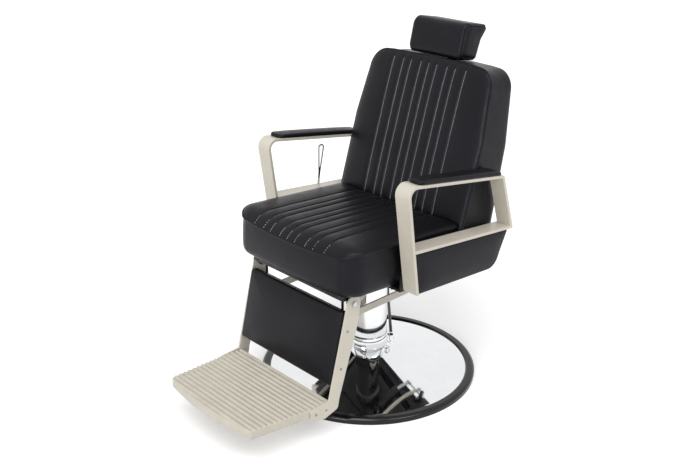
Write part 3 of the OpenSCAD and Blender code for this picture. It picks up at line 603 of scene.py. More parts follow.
def softened(length: float, radius: float, edge: float, start: float = 0.0) -> list[Point]:
    """Profile of a round bar whose two ends are rounded over.

    Args:
        length: the bar's length.
        radius: its radius.
        edge: radius of its rounded ends.
        start: where it starts along its axis.

    Returns:
        Its (along, radius) points.
    """
    arc = [math.pi / 2 * k / 3 for k in range(4)]
    near = [(start + edge * (1 - math.sin(a)), radius - edge * (1 - math.cos(a))) for a in reversed(arc)]
    far = [(2 * start + length - along, r) for along, r in reversed(near)]
    return near + far


def refined(node: str, edge: float) -> bpy.types.Object:
    """A copy of a solid with its loose triangles joined and its sharp edges rounded over.

    Args:
        node: the solid's name.
        edge: width of the rounded edges.

    Returns:
        The object.
    """
    source = FRAME["nodes"][node]
    bm = opened(source.data)
    bm.transform(source.matrix_world)
    bmesh.ops.remove_doubles(bm, verts=bm.verts, dist=2e-6)
    bmesh.ops.dissolve_limit(bm, angle_limit=math.radians(0.5), verts=bm.verts, edges=bm.edges)
    bmesh.ops.recalc_face_normals(bm, faces=bm.faces)
    hard = [e for e in bm.edges if len(e.link_faces) == 2 and e.calc_face_angle() > math.radians(32)]
    bmesh.ops.bevel(bm, geom=hard, offset=edge * MM, offset_type="OFFSET", segments=2, profile=0.5,
                    affect="EDGES", clamp_overlap=True, harden_normals=False)
    bmesh.ops.triangulate(bm, faces=[f for f in bm.faces if len(f.verts) > 4])
    return finish_mesh(node + "_fine", bm, 26)


# ---- geometry nodes


class Tree:
    """A Geometry Nodes tree with named inputs that turns one mesh into another."""

    def __init__(self, name: str, inputs: dict[str, float]) -> None:
        """Starts the tree.

        Args:
            name: the tree's name.
            inputs: name and default of each number that it takes.
        """
        self.group = bpy.data.node_groups.new(name, "GeometryNodeTree")
        face = self.group.interface
        face.new_socket("Geometry", in_out="INPUT", socket_type="NodeSocketGeometry")
        face.new_socket("Geometry", in_out="OUTPUT", socket_type="NodeSocketGeometry")
        self.keys: dict[str, str] = {}
        for label, default in inputs.items():
            socket = face.new_socket(label, in_out="INPUT", socket_type="NodeSocketFloat")
            socket.default_value = default
            self.keys[label] = socket.identifier
        for label, kind in (("Finish", "NodeSocketMaterial"), ("Pattern", "NodeSocketObject")):
            self.keys[label] = face.new_socket(label, in_out="INPUT", socket_type=kind).identifier
        self.start = self.group.nodes.new("NodeGroupInput")
        self.end = self.group.nodes.new("NodeGroupOutput")

    def input(self, label: str) -> bpy.types.NodeSocket:
        """The tree's own input of that name."""
        return self.start.outputs[label]

    def add(self, kind: str, inputs: Inputs | None = None, **settings: object) -> bpy.types.Node:
        """Adds a node, as add_node does."""
        return add_node(self.group, kind, inputs, **settings)

    def math(self, operation: str, *values: object) -> bpy.types.NodeSocket:
        """Result of a sum on numbers or sockets."""
        return self.add("ShaderNodeMath", dict(enumerate(values)), operation=operation).outputs[0]

    def close(self, geometry: bpy.types.NodeSocket) -> None:
        """Ends the tree: instances are made real and the finish is put on.

        Args:
            geometry: the tree's last geometry.
        """
        real = self.add("GeometryNodeRealizeInstances", {0: geometry}).outputs[0]
        smooth = self.add("GeometryNodeSetShadeSmooth", {0: real}).outputs[0]
        dressed = self.add("GeometryNodeSetMaterial", {"Geometry": smooth, "Material": self.input("Finish")})
        self.group.links.new(dressed.outputs[0], self.end.inputs[0])

    def make(self, name: str, source: bpy.types.Object, finish: bpy.types.Material,
             pattern: bpy.types.Object | None = None, **values: float) -> bpy.types.Object:
        """Runs the tree on a mesh and keeps the result as a plain mesh.

        Args:
            name: the new object's name.
            source: the object that it starts from, which is removed.
            finish: the result's material.
            pattern: the object that is repeated, if the tree repeats one.
            values: the tree's named numbers.

        Returns:
            The new object.
        """
        modifier = source.modifiers.new("make", "NODES")
        modifier.node_group = self.group
        modifier[self.keys["Finish"]] = finish
        if pattern is not None:
            modifier[self.keys["Pattern"]] = pattern
        for label, value in values.items():
            modifier[self.keys[label]] = float(value)
        source.update_tag()
        bpy.context.view_layer.update()
        mesh = evaluated(source)
        source.modifiers.remove(modifier)
        bpy.data.objects.remove(source, do_unlink=True)
        mesh.name = name
        return placed(name, mesh)


def wires(name: str, lines: Sequence[np.ndarray], closed: bool = False) -> bpy.types.Object:
    """A mesh of bare edges for a tree to start from.

    Args:
        name: the object's name.
        lines: the points of each line, in metres.
        closed: True if each line's last point joins its first.

    Returns:
        The object.
    """
    verts: list[list[float]] = []
    edges: list[tuple[int, int]] = []
    for line in lines:
        start = len(verts)
        verts += [[float(c) for c in p] for p in line]
        edges += [(start + i, start + i + 1) for i in range(len(line) - 1)]
        if closed:
            edges.append((start + len(line) - 1, start))
    mesh = bpy.data.meshes.new(name)
    mesh.from_pydata(verts, edges, [])
    return placed(name, mesh)


class SewingRoom:
    """The trees for what is sewn along a path, screwed on at points or cast in rows."""

    def __init__(self) -> None:
        """Builds each tree once."""
        self.piping = self._piping()
        self.stitches = self._stitches()
        self.screws = self._screws()
        self.ribs = self._ribs()

    @staticmethod
    def _piping() -> Tree:
        """Cord piping along a line, with small puckers.

        Returns:
            The tree.
        """
        tree = Tree("Piping", {"Radius": 0.003, "Pucker": 0.0004})
        line = tree.add("GeometryNodeMeshToCurve", {0: tree.input("Geometry")}).outputs[0]
        grain = tree.add("ShaderNodeTexNoise", {"Scale": 70.0, "Detail": 2.0}).outputs["Color"]
        centred = tree.add("ShaderNodeVectorMath", {0: grain, 1: (0.5, 0.5, 0.5)}, operation="SUBTRACT")
        move = tree.add("ShaderNodeVectorMath", {
            0: centred.outputs[0], "Scale": tree.input("Pucker")}, operation="SCALE").outputs[0]
        wavy = tree.add("GeometryNodeSetPosition", {"Geometry": line, "Offset": move}).outputs[0]
        ring = tree.add("GeometryNodeCurvePrimitiveCircle", {
            "Resolution": 12, "Radius": tree.input("Radius")}).outputs[0]
        cord = tree.add("GeometryNodeCurveToMesh", {"Curve": wavy, "Profile Curve": ring, "Fill Caps": True})
        tree.close(cord.outputs[0])
        return tree

    @staticmethod
    def _stitches() -> Tree:
        """Short thread stitches an even pitch apart along lines.

        Returns:
            The tree.
        """
        tree = Tree("Stitches", {"Pitch": 0.006, "Thread": 0.0005, "Length": 0.0022})
        line = tree.add("GeometryNodeMeshToCurve", {0: tree.input("Geometry")}).outputs[0]
        points = tree.add("GeometryNodeCurveToPoints", {
            "Curve": line, "Length": tree.input("Pitch")}, mode="LENGTH")
        bead = tree.add("GeometryNodeMeshUVSphere", {"Segments": 6, "Rings": 5, "Radius": 1.0}).outputs[0]
        size = tree.add("ShaderNodeCombineXYZ", {
            0: tree.input("Thread"), 1: tree.input("Thread"), 2: tree.input("Length")})
        beads = tree.add("GeometryNodeInstanceOnPoints", {
            "Points": points.outputs["Points"], "Instance": bead,
            "Rotation": points.outputs["Rotation"], "Scale": size.outputs[0]})
        tree.close(beads.outputs[0])
        return tree

    @staticmethod
    def _screws() -> Tree:
        """A screw head at each point, facing along the point's axis.

        Returns:
            The tree.
        """
        tree = Tree("Screws", {"Size": 1.0})
        axis = tree.add("GeometryNodeInputNamedAttribute", {"Name": "axis"}, data_type="FLOAT_VECTOR")
        turn = tree.add("FunctionNodeAlignRotationToVector", {"Vector": axis.outputs[0]}, axis="Z").outputs[0]
        head = tree.add("GeometryNodeObjectInfo", {"Object": tree.input("Pattern")}).outputs["Geometry"]
        size = tree.add("ShaderNodeCombineXYZ", dict.fromkeys((0, 1, 2), tree.input("Size")))
        heads = tree.add("GeometryNodeInstanceOnPoints", {
            "Points": tree.input("Geometry"), "Instance": head, "Rotation": turn, "Scale": size.outputs[0]})
        tree.close(heads.outputs[0])
        return tree

    @staticmethod
    def _ribs() -> Tree:
        """Round ribs across a casting: its top sinks in a wave from front to back.

        Returns:
            The tree.
        """
        tree = Tree("Ribs", {"Count": 16.0, "Height": 0.004})
        run = tree.add("GeometryNodeInputNamedAttribute", {"Name": "run"}, data_type="FLOAT").outputs[0]
        top = tree.add("GeometryNodeInputNamedAttribute", {"Name": "top"}, data_type="FLOAT").outputs[0]
        angle = tree.math("MULTIPLY", tree.math("MULTIPLY", run, tree.input("Count")), 2 * math.pi)
        dip = tree.math("MULTIPLY", tree.math("SUBTRACT", tree.math("COSINE", angle), 1.0), 0.5)
        fall = tree.math("MULTIPLY", tree.math("MULTIPLY", dip, tree.input("Height")), top)
        move = tree.add("ShaderNodeCombineXYZ", {2: fall}).outputs[0]
        sunk = tree.add("GeometryNodeSetPosition", {"Geometry": tree.input("Geometry"), "Offset": move})
        tree.close(sunk.outputs[0])
        return tree


# ---- finishes


class Surface:
    """A material with one principled shader and patterns on object coordinates."""

    def __init__(self, name: str, **sockets: object) -> None:
        """Starts the material.

        Args:
            name: the material's name.
            sockets: values for the shader's own sockets, with _ for a space.
        """
        self.material = bpy.data.materials.new(name)
        self.material.use_nodes = True
        self.tree = self.material.node_tree
        self.shader = next(n for n in self.tree.nodes if n.type == "BSDF_PRINCIPLED")
        for key, value in sockets.items():
            self.shader.inputs[key.replace("_", " ")].default_value = value
        self.where = self.add("ShaderNodeTexCoord").outputs["Object"]

    def add(self, kind: str, inputs: Inputs | None = None, **settings: object) -> bpy.types.Node:
        """Adds a node, as add_node does."""
        return add_node(self.tree, kind, inputs, **settings)

    def link(self, socket: bpy.types.NodeSocket, target: str) -> None:
        """Links a socket to one of the shader's."""
        self.tree.links.new(socket, self.shader.inputs[target])

    def clouds(self, scale: float, detail: float = 3.0, roughness: float = 0.55) -> bpy.types.NodeSocket:
        """A noise from 0 to 1, with scale in patches per metre."""
        return self.add("ShaderNodeTexNoise", {
            "Vector": self.where, "Scale": scale, "Detail": detail, "Roughness": roughness}).outputs[0]

    def stretched(self, scale: float, squeeze: Triple) -> bpy.types.NodeSocket:
        """A noise drawn out along some axes, for brushed or rolled metal."""
        mapped = self.add("ShaderNodeMapping", {"Vector": self.where, "Scale": squeeze}).outputs[0]
        return self.add("ShaderNodeTexNoise", {"Vector": mapped, "Scale": scale, "Detail": 3.0}).outputs[0]

    def cells(self, scale: float) -> bpy.types.NodeSocket:
        """Distance to the edges of pebbled cells, with scale in cells per metre."""
        return self.add("ShaderNodeTexVoronoi", {
            "Vector": self.where, "Scale": scale}, feature="DISTANCE_TO_EDGE").outputs[0]

    def spread(self, value: bpy.types.NodeSocket, low: float, high: float,
               start: float = 0.25, end: float = 0.75) -> bpy.types.NodeSocket:
        """A pattern's values from start to end, mapped to low to high."""
        return self.add("ShaderNodeMapRange", {
            "Value": value, "From Min": start, "From Max": end, "To Min": low, "To Max": high}).outputs[0]

    def shades(self, value: bpy.types.NodeSocket, dark: Sequence[float], light: Sequence[float]) -> None:
        """Varies the colour between two shades over a pattern."""
        mix = self.add("ShaderNodeMix", {0: value, 6: (*dark, 1.0), 7: (*light, 1.0)}, data_type="RGBA")
        self.link(mix.outputs[2], "Base Color")

    def relief(self, *layers: tuple[bpy.types.NodeSocket, float, float]) -> None:
        """Adds bumps, each on the one before.

        Args:
            layers: the (height, strength, depth in metres) of each.
        """
        normal = None
        for height, strength, depth in layers:
            inputs: Inputs = {"Height": height, "Strength": strength, "Distance": depth}
            if normal is not None:
                inputs["Normal"] = normal
            normal = self.add("ShaderNodeBump", inputs).outputs[0]
        self.link(normal, "Normal")


@dataclass(frozen=True)
class Hide:
    """Soft black hide with a fine pebbled grain."""

    name: str
    dark: Triple = (0.0034, 0.0033, 0.0042)
    light: Triple = (0.0062, 0.0060, 0.0078)
    gloss: float = 0.34
    grain: float = 0.3

    def build(self) -> bpy.types.Material:
        """Builds the finish.

        Returns:
            The material.
        """
        skin = Surface(self.name, Specular_IOR_Level=0.2, Specular_Tint=(0.9, 0.88, 1.0, 1.0))
        patches = skin.clouds(9.0, 4.0)
        skin.shades(skin.spread(patches, 0.0, 1.0), self.dark, self.light)
        pebble = skin.cells(760.0)
        pores = skin.clouds(1500.0, 2.0)
        worn = skin.spread(skin.clouds(34.0), -0.05, 0.06)
        even = skin.spread(pores, self.gloss - 0.03, self.gloss + 0.05)
        rough = skin.add("ShaderNodeMath", {0: worn, 1: even}, operation="ADD")
        skin.link(rough.outputs[0], "Roughness")
        creases = skin.stretched(46.0, (1.0, 1.6, 1.0))
        skin.relief((skin.spread(creases, 0.0, 1.0, 0.3, 0.7), self.grain * 0.5, 0.0009),
                    (skin.spread(pebble, 0.0, 1.0, 0.0, 0.22), self.grain * 0.55, 0.00022),
                    (pores, self.grain * 0.4, 0.0001))
        return skin.material


@dataclass(frozen=True)
class Paint:
    """Sprayed paint with a faint orange peel and rubbed places."""

    name: str
    colour: Triple
    rough: float = 0.36
    coat: float = 0.25
    peel: float = 0.12
    level: float = 0.5

    def build(self) -> bpy.types.Material:
        """Builds the finish.

        Returns:
            The material.
        """
        skin = Surface(self.name, Coat_Weight=self.coat, Coat_Roughness=0.12, Specular_IOR_Level=self.level)
        dark = tuple(c * 0.955 for c in self.colour)
        light = tuple(min(1.0, c * 1.03) for c in self.colour)
        skin.shades(skin.spread(skin.clouds(14.0, 5.0), 0.0, 1.0), dark, light)
        rubbed = skin.clouds(60.0, 6.0, 0.7)
        skin.link(skin.spread(rubbed, self.rough - 0.05, self.rough + 0.08), "Roughness")
        skin.relief((skin.clouds(430.0, 2.0), self.peel, 0.00012))
        return skin.material


@dataclass(frozen=True)
class Metal:
    """Bare or plated metal."""

    name: str
    colour: Triple
    rough: float
    brushed: Triple = (1.0, 1.0, 1.0)
    depth: float = 0.00002
    fine: float = 300.0

    def build(self) -> bpy.types.Material:
        """Builds the finish.

        Returns:
            The material.
        """
        skin = Surface(self.name, Metallic=1.0)
        dark = tuple(c * 0.95 for c in self.colour)
        skin.shades(skin.spread(skin.clouds(22.0, 4.0), 0.0, 1.0), dark, self.colour)
        wear = skin.clouds(48.0, 7.0, 0.72)
        skin.link(skin.spread(wear, self.rough * 0.75, self.rough * 1.5), "Roughness")
        skin.relief((skin.stretched(self.fine, self.brushed), 0.05, self.depth))
        return skin.material


@dataclass(frozen=True)
class Cast:
    """Metal as it leaves a sand mould, painted or bare."""

    name: str
    colour: Triple
    rough: float
    metallic: float = 0.0
    grit: float = 0.25

    def build(self) -> bpy.types.Material:
        """Builds the finish.

        Returns:
            The material.
        """
        skin = Surface(self.name, Metallic=self.metallic)
        dark = tuple(c * 0.86 for c in self.colour)
        skin.shades(skin.spread(skin.clouds(30.0, 6.0), 0.0, 1.0), dark, self.colour)
        skin.link(skin.spread(skin.clouds(90.0, 5.0), self.rough - 0.06, self.rough + 0.08), "Roughness")
        skin.relief((skin.clouds(120.0, 3.0), self.grit * 0.6, 0.0004),
                    (skin.clouds(900.0, 3.0), self.grit, 0.00015))
        return skin.material


@dataclass(frozen=True)
class Ply:
    """Plywood under a black stain, with drawn-out grain."""

    name: str = "stained_plywood"

    def build(self) -> bpy.types.Material:
        """Builds the finish.

        Returns:
            The material.
        """
        skin = Surface(self.name)
        grain = skin.stretched(60.0, (1.0, 12.0, 12.0))
        skin.shades(skin.spread(grain, 0.0, 1.0), (0.0055, 0.0045, 0.004), (0.011, 0.009, 0.007))
        skin.link(skin.spread(grain, 0.55, 0.7), "Roughness")
        skin.relief((grain, 0.2, 0.0002))
        return skin.material


@dataclass(frozen=True)
class Fibre:
    """Sewing thread or moulded rubber, dull and finely mottled."""

    name: str
    colour: Triple
    rough: float = 0.75

    def build(self) -> bpy.types.Material:
        """Builds the finish.

        Returns:
            The material.
        """
        skin = Surface(self.name, Specular_IOR_Level=0.3)
        dark = tuple(c * 0.8 for c in self.colour)
        skin.shades(skin.spread(skin.clouds(220.0, 3.0), 0.0, 1.0), dark, self.colour)
        skin.link(skin.spread(skin.clouds(400.0), self.rough - 0.08, self.rough + 0.08), "Roughness")
        skin.relief((skin.clouds(1400.0, 2.0), 0.3, 0.0001))
        return skin.material


class Palette:
    """Every finish of the chair."""

    def __init__(self) -> None:
        """Builds each material once."""
        self.hide = Hide("black_hide").build()
        self.cord = Hide("hide_over_cord", gloss=0.32, grain=0.2).build()
        self.pad = Hide("arm_pad_skin", gloss=0.36, grain=0.14).build()
        self.thread = Fibre("grey_thread", (0.55, 0.55, 0.58)).build()
        self.enamel = Paint(
            "gloss_black_enamel", (0.003, 0.003, 0.0033), rough=0.12, coat=0.15, peel=0.05, level=0.3).build()
        self.screw = Metal("browned_screws", (0.3, 0.295, 0.28), 0.22).build()
        self.lever = Paint("black_lever_paint", (0.012, 0.012, 0.013), rough=0.34, coat=0.1).build()
        chassis = Paint("satin_black_paint", (0.0055, 0.0055, 0.006), rough=0.4, coat=0.05, level=0.3)
        steel = Metal("ground_steel", (0.56, 0.565, 0.57), 0.26, brushed=(1.0, 14.0, 14.0), depth=0.00005)
        self.slots: dict[Slot, bpy.types.Material] = {
            Slot.UPHOLSTERY: self.hide,
            Slot.FRAME_PAINT: Paint("champagne_paint", CHAMPAGNE).build(),
            Slot.CHASSIS_PAINT: chassis.build(),
            Slot.TRIM_BLACK: self.enamel,
            Slot.CHROME: Metal("chrome_plate", (0.86, 0.87, 0.88), 0.045).build(),
            Slot.STEEL: steel.build(),
            Slot.CAST_IRON: Cast("grey_iron", (0.13, 0.13, 0.135), 0.55, metallic=0.8).build(),
            Slot.CAST_ALUMINIUM: Cast("painted_casting", CHAMPAGNE, 0.4, grit=0.12).build(),
            Slot.BRONZE: Metal("bronze", (0.45, 0.28, 0.12), 0.3).build(),
            Slot.RUBBER: Fibre("black_rubber", (0.013, 0.013, 0.014)).build(),
            Slot.PLYWOOD: Ply().build(),
        }


# ---- fitting


class Fitter:
    """Puts a finished piece on the body that carries it."""

    def __init__(self, palette: Palette) -> None:
        """Keeps the palette and starts the count of pieces.

        Args:
            palette: the chair's finishes.
        """
        self.palette = palette
        self.count = 0

    def fit(self, piece: bpy.types.Object, body: str, slot: Slot, nodes: Sequence[str] = (),
            finish: bpy.types.Material | None = None) -> bpy.types.Object:
        """Dresses a piece and lets it ride.

        Args:
            piece: the finished object.
            body: the body that carries it.
            slot: its material slot.
            nodes: the solids that it stands for.
            finish: its material, if not the slot's.

        Returns:
            The piece.
        """
        if not piece.data.materials:
            piece.data.materials.append(finish or self.palette.slots[slot])
        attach(piece, body)
        if nodes:
            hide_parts(*nodes)
        self.count += 1
        log.info("%s on %s: %d faces", piece.name, body, len(piece.data.polygons))
        return piece

    def refine(self, node: str, edge: float, finish: bpy.types.Material | None = None) -> None:
        """Stands a copy with rounded edges in for a solid, with the solid's own body and slot."""
        self.fit(refined(node, edge), BODY_OF[node], SLOT_OF[node], [node], finish)


# ---- upholstery


class Billow:
    """How far a padded form swells under the pressure of its filling."""

    frames: int = 20
    cap: float = 26.0
    near_points: int = 5
    blur: float = 0.0015

    def __init__(self, form: bpy.types.Object, held: Placing, voxel: float) -> None:
        """Lets an even skin over the form swell, then keeps each point's move, up to the cap.

        Args:
            form: the padded form, which stays as it is.
            held: tells which points, in metres, are sewn down.
            voxel: size of the skin's squares.
        """
        self.tree: KDTree | None = None
        skin = self._skin(form, voxel)
        rest = self._points(skin.data)
        sewn = skin.vertex_groups.new(name="sewn")
        sewn.add([int(i) for i in np.nonzero(held(rest))[0]], 1.0, "REPLACE")
        cloth = skin.modifiers.new("filling", "CLOTH")
        cloth.settings.quality = 5
        cloth.settings.mass = 0.3
        cloth.settings.bending_stiffness = 0.6
        cloth.settings.use_pressure = True
        cloth.settings.uniform_pressure_force = 4.0
        cloth.settings.effector_weights.gravity = 0.0
        cloth.settings.vertex_group_mass = "sewn"
        cloth.collision_settings.use_collision = False
        cloth.point_cache.frame_start = 1
        cloth.point_cache.frame_end = self.frames
        for frame in range(1, self.frames + 1):
            bpy.context.scene.frame_set(frame)
        swollen = evaluated(skin)
        moves = self._points(swollen) - rest
        bpy.context.scene.frame_set(1)
        length = np.linalg.norm(moves, axis=1)
        moves *= np.minimum(1, self.cap * MM / np.maximum(length, 1e-9))[:, None]
        self.moves = moves
        self.longest = max(float(np.percentile(np.linalg.norm(moves, axis=1), 97)), 1e-6)
        self.tree = nearest(rest)
        log.info("%s swells %.1f mm over %d points", form.name, self.longest / MM, len(rest))
        bpy.data.objects.remove(skin, do_unlink=True)
        bpy.data.meshes.remove(swollen)

    @staticmethod
    def _points(mesh: bpy.types.Mesh) -> np.ndarray:
        """Vertex places of a mesh.

        Args:
            mesh: the mesh.

        Returns:
            An array with a row for each point.
        """
        out = np.empty(len(mesh.vertices) * 3)
        mesh.vertices.foreach_get("co", out)
        return out.reshape(-1, 3)

    @staticmethod
    def _skin(form: bpy.types.Object, voxel: float) -> bpy.types.Object:
        """An even skin of squares over a form.

        Args:
            form: the form, which stays as it is.
            voxel: size of the squares, in millimetres.

        Returns:
            The skin.
        """
        copy = placed("skin_source", form.data.copy())
        remesh = copy.modifiers.new("even", "REMESH")
        remesh.mode = "VOXEL"
        remesh.voxel_size = voxel * MM
        bpy.context.view_layer.update()
        mesh = evaluated(copy)
        bpy.data.objects.remove(copy, do_unlink=True)
        return placed("skin", mesh)

    def at(self, points: np.ndarray, amount: float) -> np.ndarray:
        """Moves of points, scaled so that the form swells by amount.

        Args:
            points: places in metres.
            amount: how far the fullest places swell, in millimetres.

        Returns:
            A move for each point, in metres.
        """
        out = np.zeros_like(points)
        if self.tree is None:
            return out
        gain = amount * MM / self.longest
        for i, p in enumerate(points):
            near = self.tree.find_n(p, self.near_points)
            weights = np.array([1 / (d + self.blur) for _, _, d in near])
            moves = np.array([self.moves[k] for _, k, _ in near])
            out[i] = gain * (weights @ moves) / weights.sum()
        return out


class Region(IntEnum):
    """Where a point of a cushion lies."""

    PANEL = 0
    BAND = 1
    BACK = 2


@dataclass(frozen=True)
class Needlework:
    """Small sizes that every cushion shares."""

    seam_fade: float = 38.0
    crown_fade: float = 3.0
    last_channel: float = 6.0
    edge_rows: tuple[float, ...] = (0.06, 0.2, 0.42, 0.7, 1.0)
    beyond_edge: tuple[float, ...] = (4.0, 9.0)
    roll_rows: tuple[float, ...] = (0.2, 0.7, 1.6, 3.0, 5.0, 7.5)
    beyond_roll: float = 8.0
    seam_columns: tuple[float, ...] = (1.0, 2.0, 3.2, 4.6, 6.2, 8.5, 12.5)
    grid_margin: float = 11.0
    pucker_reach: float = 26.0
    pucker_decay: float = 9.0
    pucker_waves: tuple[Triple, ...] = ((7.0, 3.7, 1.0), (17.0, 9.1, 0.6))
    free_after: float = 20.0
    seam_hold: float = 0.75
    seam_reach: float = 5.0
    back_freedom: float = 0.35


@dataclass
class Cushion:
    """A padded piece with a crowned front panel, a side band and a back panel.

    The front panel lies between two chains of points, lower and upper, that both run
    from left to right. Rings of (depth, inset) make the band, and thick scales depth.
    The panel's edge is a quarter round, or rolls up over a width and a height.
    """

    name: str
    body: str
    nodes: tuple[str, ...]
    place: Placing
    lower: list[Point]
    upper: list[Point]
    crown: float
    rings: list[Point]
    edge: float = 4.0
    thick: Callable[[np.ndarray], np.ndarray] | None = None
    seams: tuple[float, ...] = ()
    seam_depth: float = 4.0
    seam_width: float = 3.4
    pillow: float = 1.6
    pitch: float = 38.0
    roll: Point = (0.0, 0.0)
    swell: float = 4.0
    band_swell: float = 0.6
    voxel: float = 7.0
    pucker: float = 0.35
    back_crown: float = 0.0
    piping: float = 0.0
    step: float = 4.0
    cell: float = 8.0
    fill: float = 0.85
    shrink: float = 0.0
    finish: bpy.types.Material | None = None
    work: Needlework = Needlework()
    points: np.ndarray = field(init=False, repr=False)
    region: np.ndarray = field(init=False, repr=False)
    flat: np.ndarray = field(init=False, repr=False)
    near: np.ndarray = field(init=False, repr=False)
    billow: Billow = field(init=False, repr=False)

    def __post_init__(self) -> None:
        """Works out the outline and its spans."""
        low, high = np.array(self.lower), np.array(self.upper)
        chain = self.lower + self.upper[::-1]
        apart = [p for i, p in enumerate(chain) if math.dist(p, chain[i - 1]) > 0.01]
        self.outline = resample(apart, self.step)
        self.low_at = lambda x: np.interp(x, low[:, 0], low[:, 1])
        self.high_at = lambda x: np.interp(x, high[:, 0], high[:, 1])
        self.mid = (self.outline.min(axis=0) + self.outline.max(axis=0)) / 2
        self.half = (self.outline.max(axis=0) - self.outline.min(axis=0)) / 2
        self.depth_at = self.thick or (lambda y: np.ones_like(y))

    def rise(self, flat: np.ndarray) -> np.ndarray:
        """How far up its crown each point of the panel is.

        Args:
            flat: points of the panel.

        Returns:
            A share from 0 to 1 for each point.
        """
        x, y = flat[:, 0], flat[:, 1]
        low, high = self.low_at(x), self.high_at(x)
        u = np.clip(np.abs((x - self.mid[0]) / self.half[0]), 0, 1)
        v = np.clip(np.abs((2 * y - low - high) / np.maximum(high - low, 1)), 0, 1)
        return (1 - u**4) * (1 - v**4)

    def height(self, flat: np.ndarray, from_edge: np.ndarray | None = None) -> np.ndarray:
        """Height of the sewn panel over its outline's plane.

        Args:
            flat: points of the panel.
            from_edge: their distances from the outline, where they are known.

        Returns:
            A height for each point.
        """
        near = distance_to(flat, self.outline) if from_edge is None else from_edge
        rise = self.rise(flat)
        z = self.crown * rise
        if self.roll[0]:
            t = np.clip(1 - near / self.roll[0], 0, 1)
            z += self.roll[1] * np.sqrt(1 - t**2)
        else:
            t = np.clip(1 - near / self.edge, 0, 1)
            z -= self.edge * (1 - np.sqrt(1 - t**2))
        if self.seams:
            fade = np.minimum(1, near / self.work.seam_fade if self.roll[0] else rise * self.work.crown_fade)
            x = flat[:, 0]
            for seam in self.seams:
                z -= self.seam_depth * fade * np.exp(-(((x - seam) / self.seam_width) ** 2))
            first, last = self.seams[0] - self.pitch, self.seams[-1] + self.pitch
            soft = np.clip((last - self.pitch / 2 - np.abs(x)) / self.work.last_channel, 0, 1)
            phase = np.interp(x, (first, *self.seams, last), range(len(self.seams) + 2))
            z -= self.pillow * fade * soft * np.cos(np.pi * phase) ** 2
        return z

    def _inner(self) -> np.ndarray:
        """Points inside the panel: rows beside the edge, then a grid with close columns at the seams.

        Returns:
            The points, flat.
        """
        rows = []
        work = self.work
        depths = [self.edge * f for f in work.edge_rows] + [self.edge + d for d in work.beyond_edge]
        if self.roll[0]:
            depths = [*work.roll_rows, self.edge + work.beyond_roll]
        for depth in depths:
            ring = offset(self.outline, depth)
            rows.append(ring[distance_to(ring, self.outline) > depth * 0.96])
        xs = list(np.arange(self.mid[0] - self.half[0], self.mid[0] + self.half[0], self.cell))
        if self.seams:
            outside = self.seams[-1] + work.seam_columns[-1] + 1.5
            xs = [x for x in xs if abs(x) > outside]
            for seam in self.seams:
                xs += [seam + d for column in work.seam_columns for d in (-column, column)] + [seam]
            xs += [(a + b) / 2 for a, b in zip(self.seams, self.seams[1:])]
        ys = np.arange(self.mid[1] - self.half[1], self.mid[1] + self.half[1], self.cell)
        grid = np.array([(x, y) for x in sorted(xs) for y in ys])
        deep = distance_to(grid, self.outline) > self.edge + work.grid_margin
        return np.concatenate(rows + [grid[within(grid, [self.outline]) & deep]])

    def _puckers(self, flat: np.ndarray, near: np.ndarray) -> np.ndarray:
        """Small gathers in the hide beside the edge's seam.

        Args:
            flat: points of the panel.
            near: their distances from the outline.

        Returns:
            A height for each point.
        """
        out = np.zeros(len(flat))
        for i, ((x, y), d) in enumerate(zip(flat, near)):
            if d < self.work.pucker_reach:
                wave = sum(share * noise.noise(Vector((x / long, y / long, seed)))
                           for long, seed, share in self.work.pucker_waves)
                out[i] = self.pucker * wave * math.exp(-d / self.work.pucker_decay) * min(1, d / 1.5)
        return out

    def _ring(self, flat: np.ndarray, depth: float, inset: float) -> np.ndarray:
        """Points under flat ones, at a depth and drawn in by inset."""
        shape = self.mid + (flat - self.mid) * (1 - (inset + self.shrink) / self.half)
        return np.column_stack([shape, -depth * self.depth_at(shape[:, 1])])

    def build(self, fitter: Fitter, sewing: SewingRoom, twin: tuple[str, str] | None = None) -> None:
        """Makes the cushion with its channels and puckers, lets it swell, then sews the piping.

        Args:
            fitter: puts the pieces on their bodies.
            sewing: the trees for piping and stitches.
            twin: name and solid of a twin on the chair's other side.
        """
        inner = self._inner()
        flat = np.concatenate([self.outline, inner])
        near = distance_to(flat, self.outline)
        tris = triangles([self.outline], inner)
        count, total = len(self.outline), len(flat)
        shape = self.mid + (flat - self.mid) * (1 - self.shrink / self.half)
        panel = np.column_stack([shape, self.height(flat, near) + self._puckers(flat, near)])
        rings = [self._ring(self.outline, depth, inset) for depth, inset in self.rings]
        depth, inset = self.rings[-1]
        back = self._ring(inner, depth, inset)
        back[:, 2] -= self.back_crown * self.rise(inner)
        local = np.concatenate([panel, *rings, back])
        faces: list[tuple[int, ...]] = [tuple(int(i) for i in t) for t in tris]
        starts = [0] + [total + k * count for k in range(len(rings))]
        for low, high in zip(starts, starts[1:]):
            for i in range(count):
                j = (i + 1) % count
                faces.append((low + i, high + i, high + j, low + j))
        faces += [tuple(int(starts[-1] + i) for i in reversed(tri)) for tri in tris]
        world = self.place(local)
        form = self._object(self.name, world, faces)
        self.points = world
        band = count * len(rings)
        self.region = np.repeat([Region.PANEL, Region.BAND, Region.BACK], [total, band, len(inner)])
        self.flat = np.concatenate([flat, np.tile(self.outline, (len(rings), 1)), inner])
        self.near = np.concatenate([near, np.zeros(band), distance_to(inner, self.outline)])
        self.billow = Billow(form, self._held, self.voxel)
        moved = world + self.billow.at(world, self.swell) * self._freedom()[:, None]
        form.data.vertices.foreach_set("co", moved.ravel())
        form.data.update()
        fitter.fit(form, self.body, Slot.UPHOLSTERY, self.nodes, self.finish)
        if self.piping:
            self._sew_piping(fitter, sewing)
        if twin:
            name, node = twin
            turned = [tuple(reversed(face)) for face in faces]
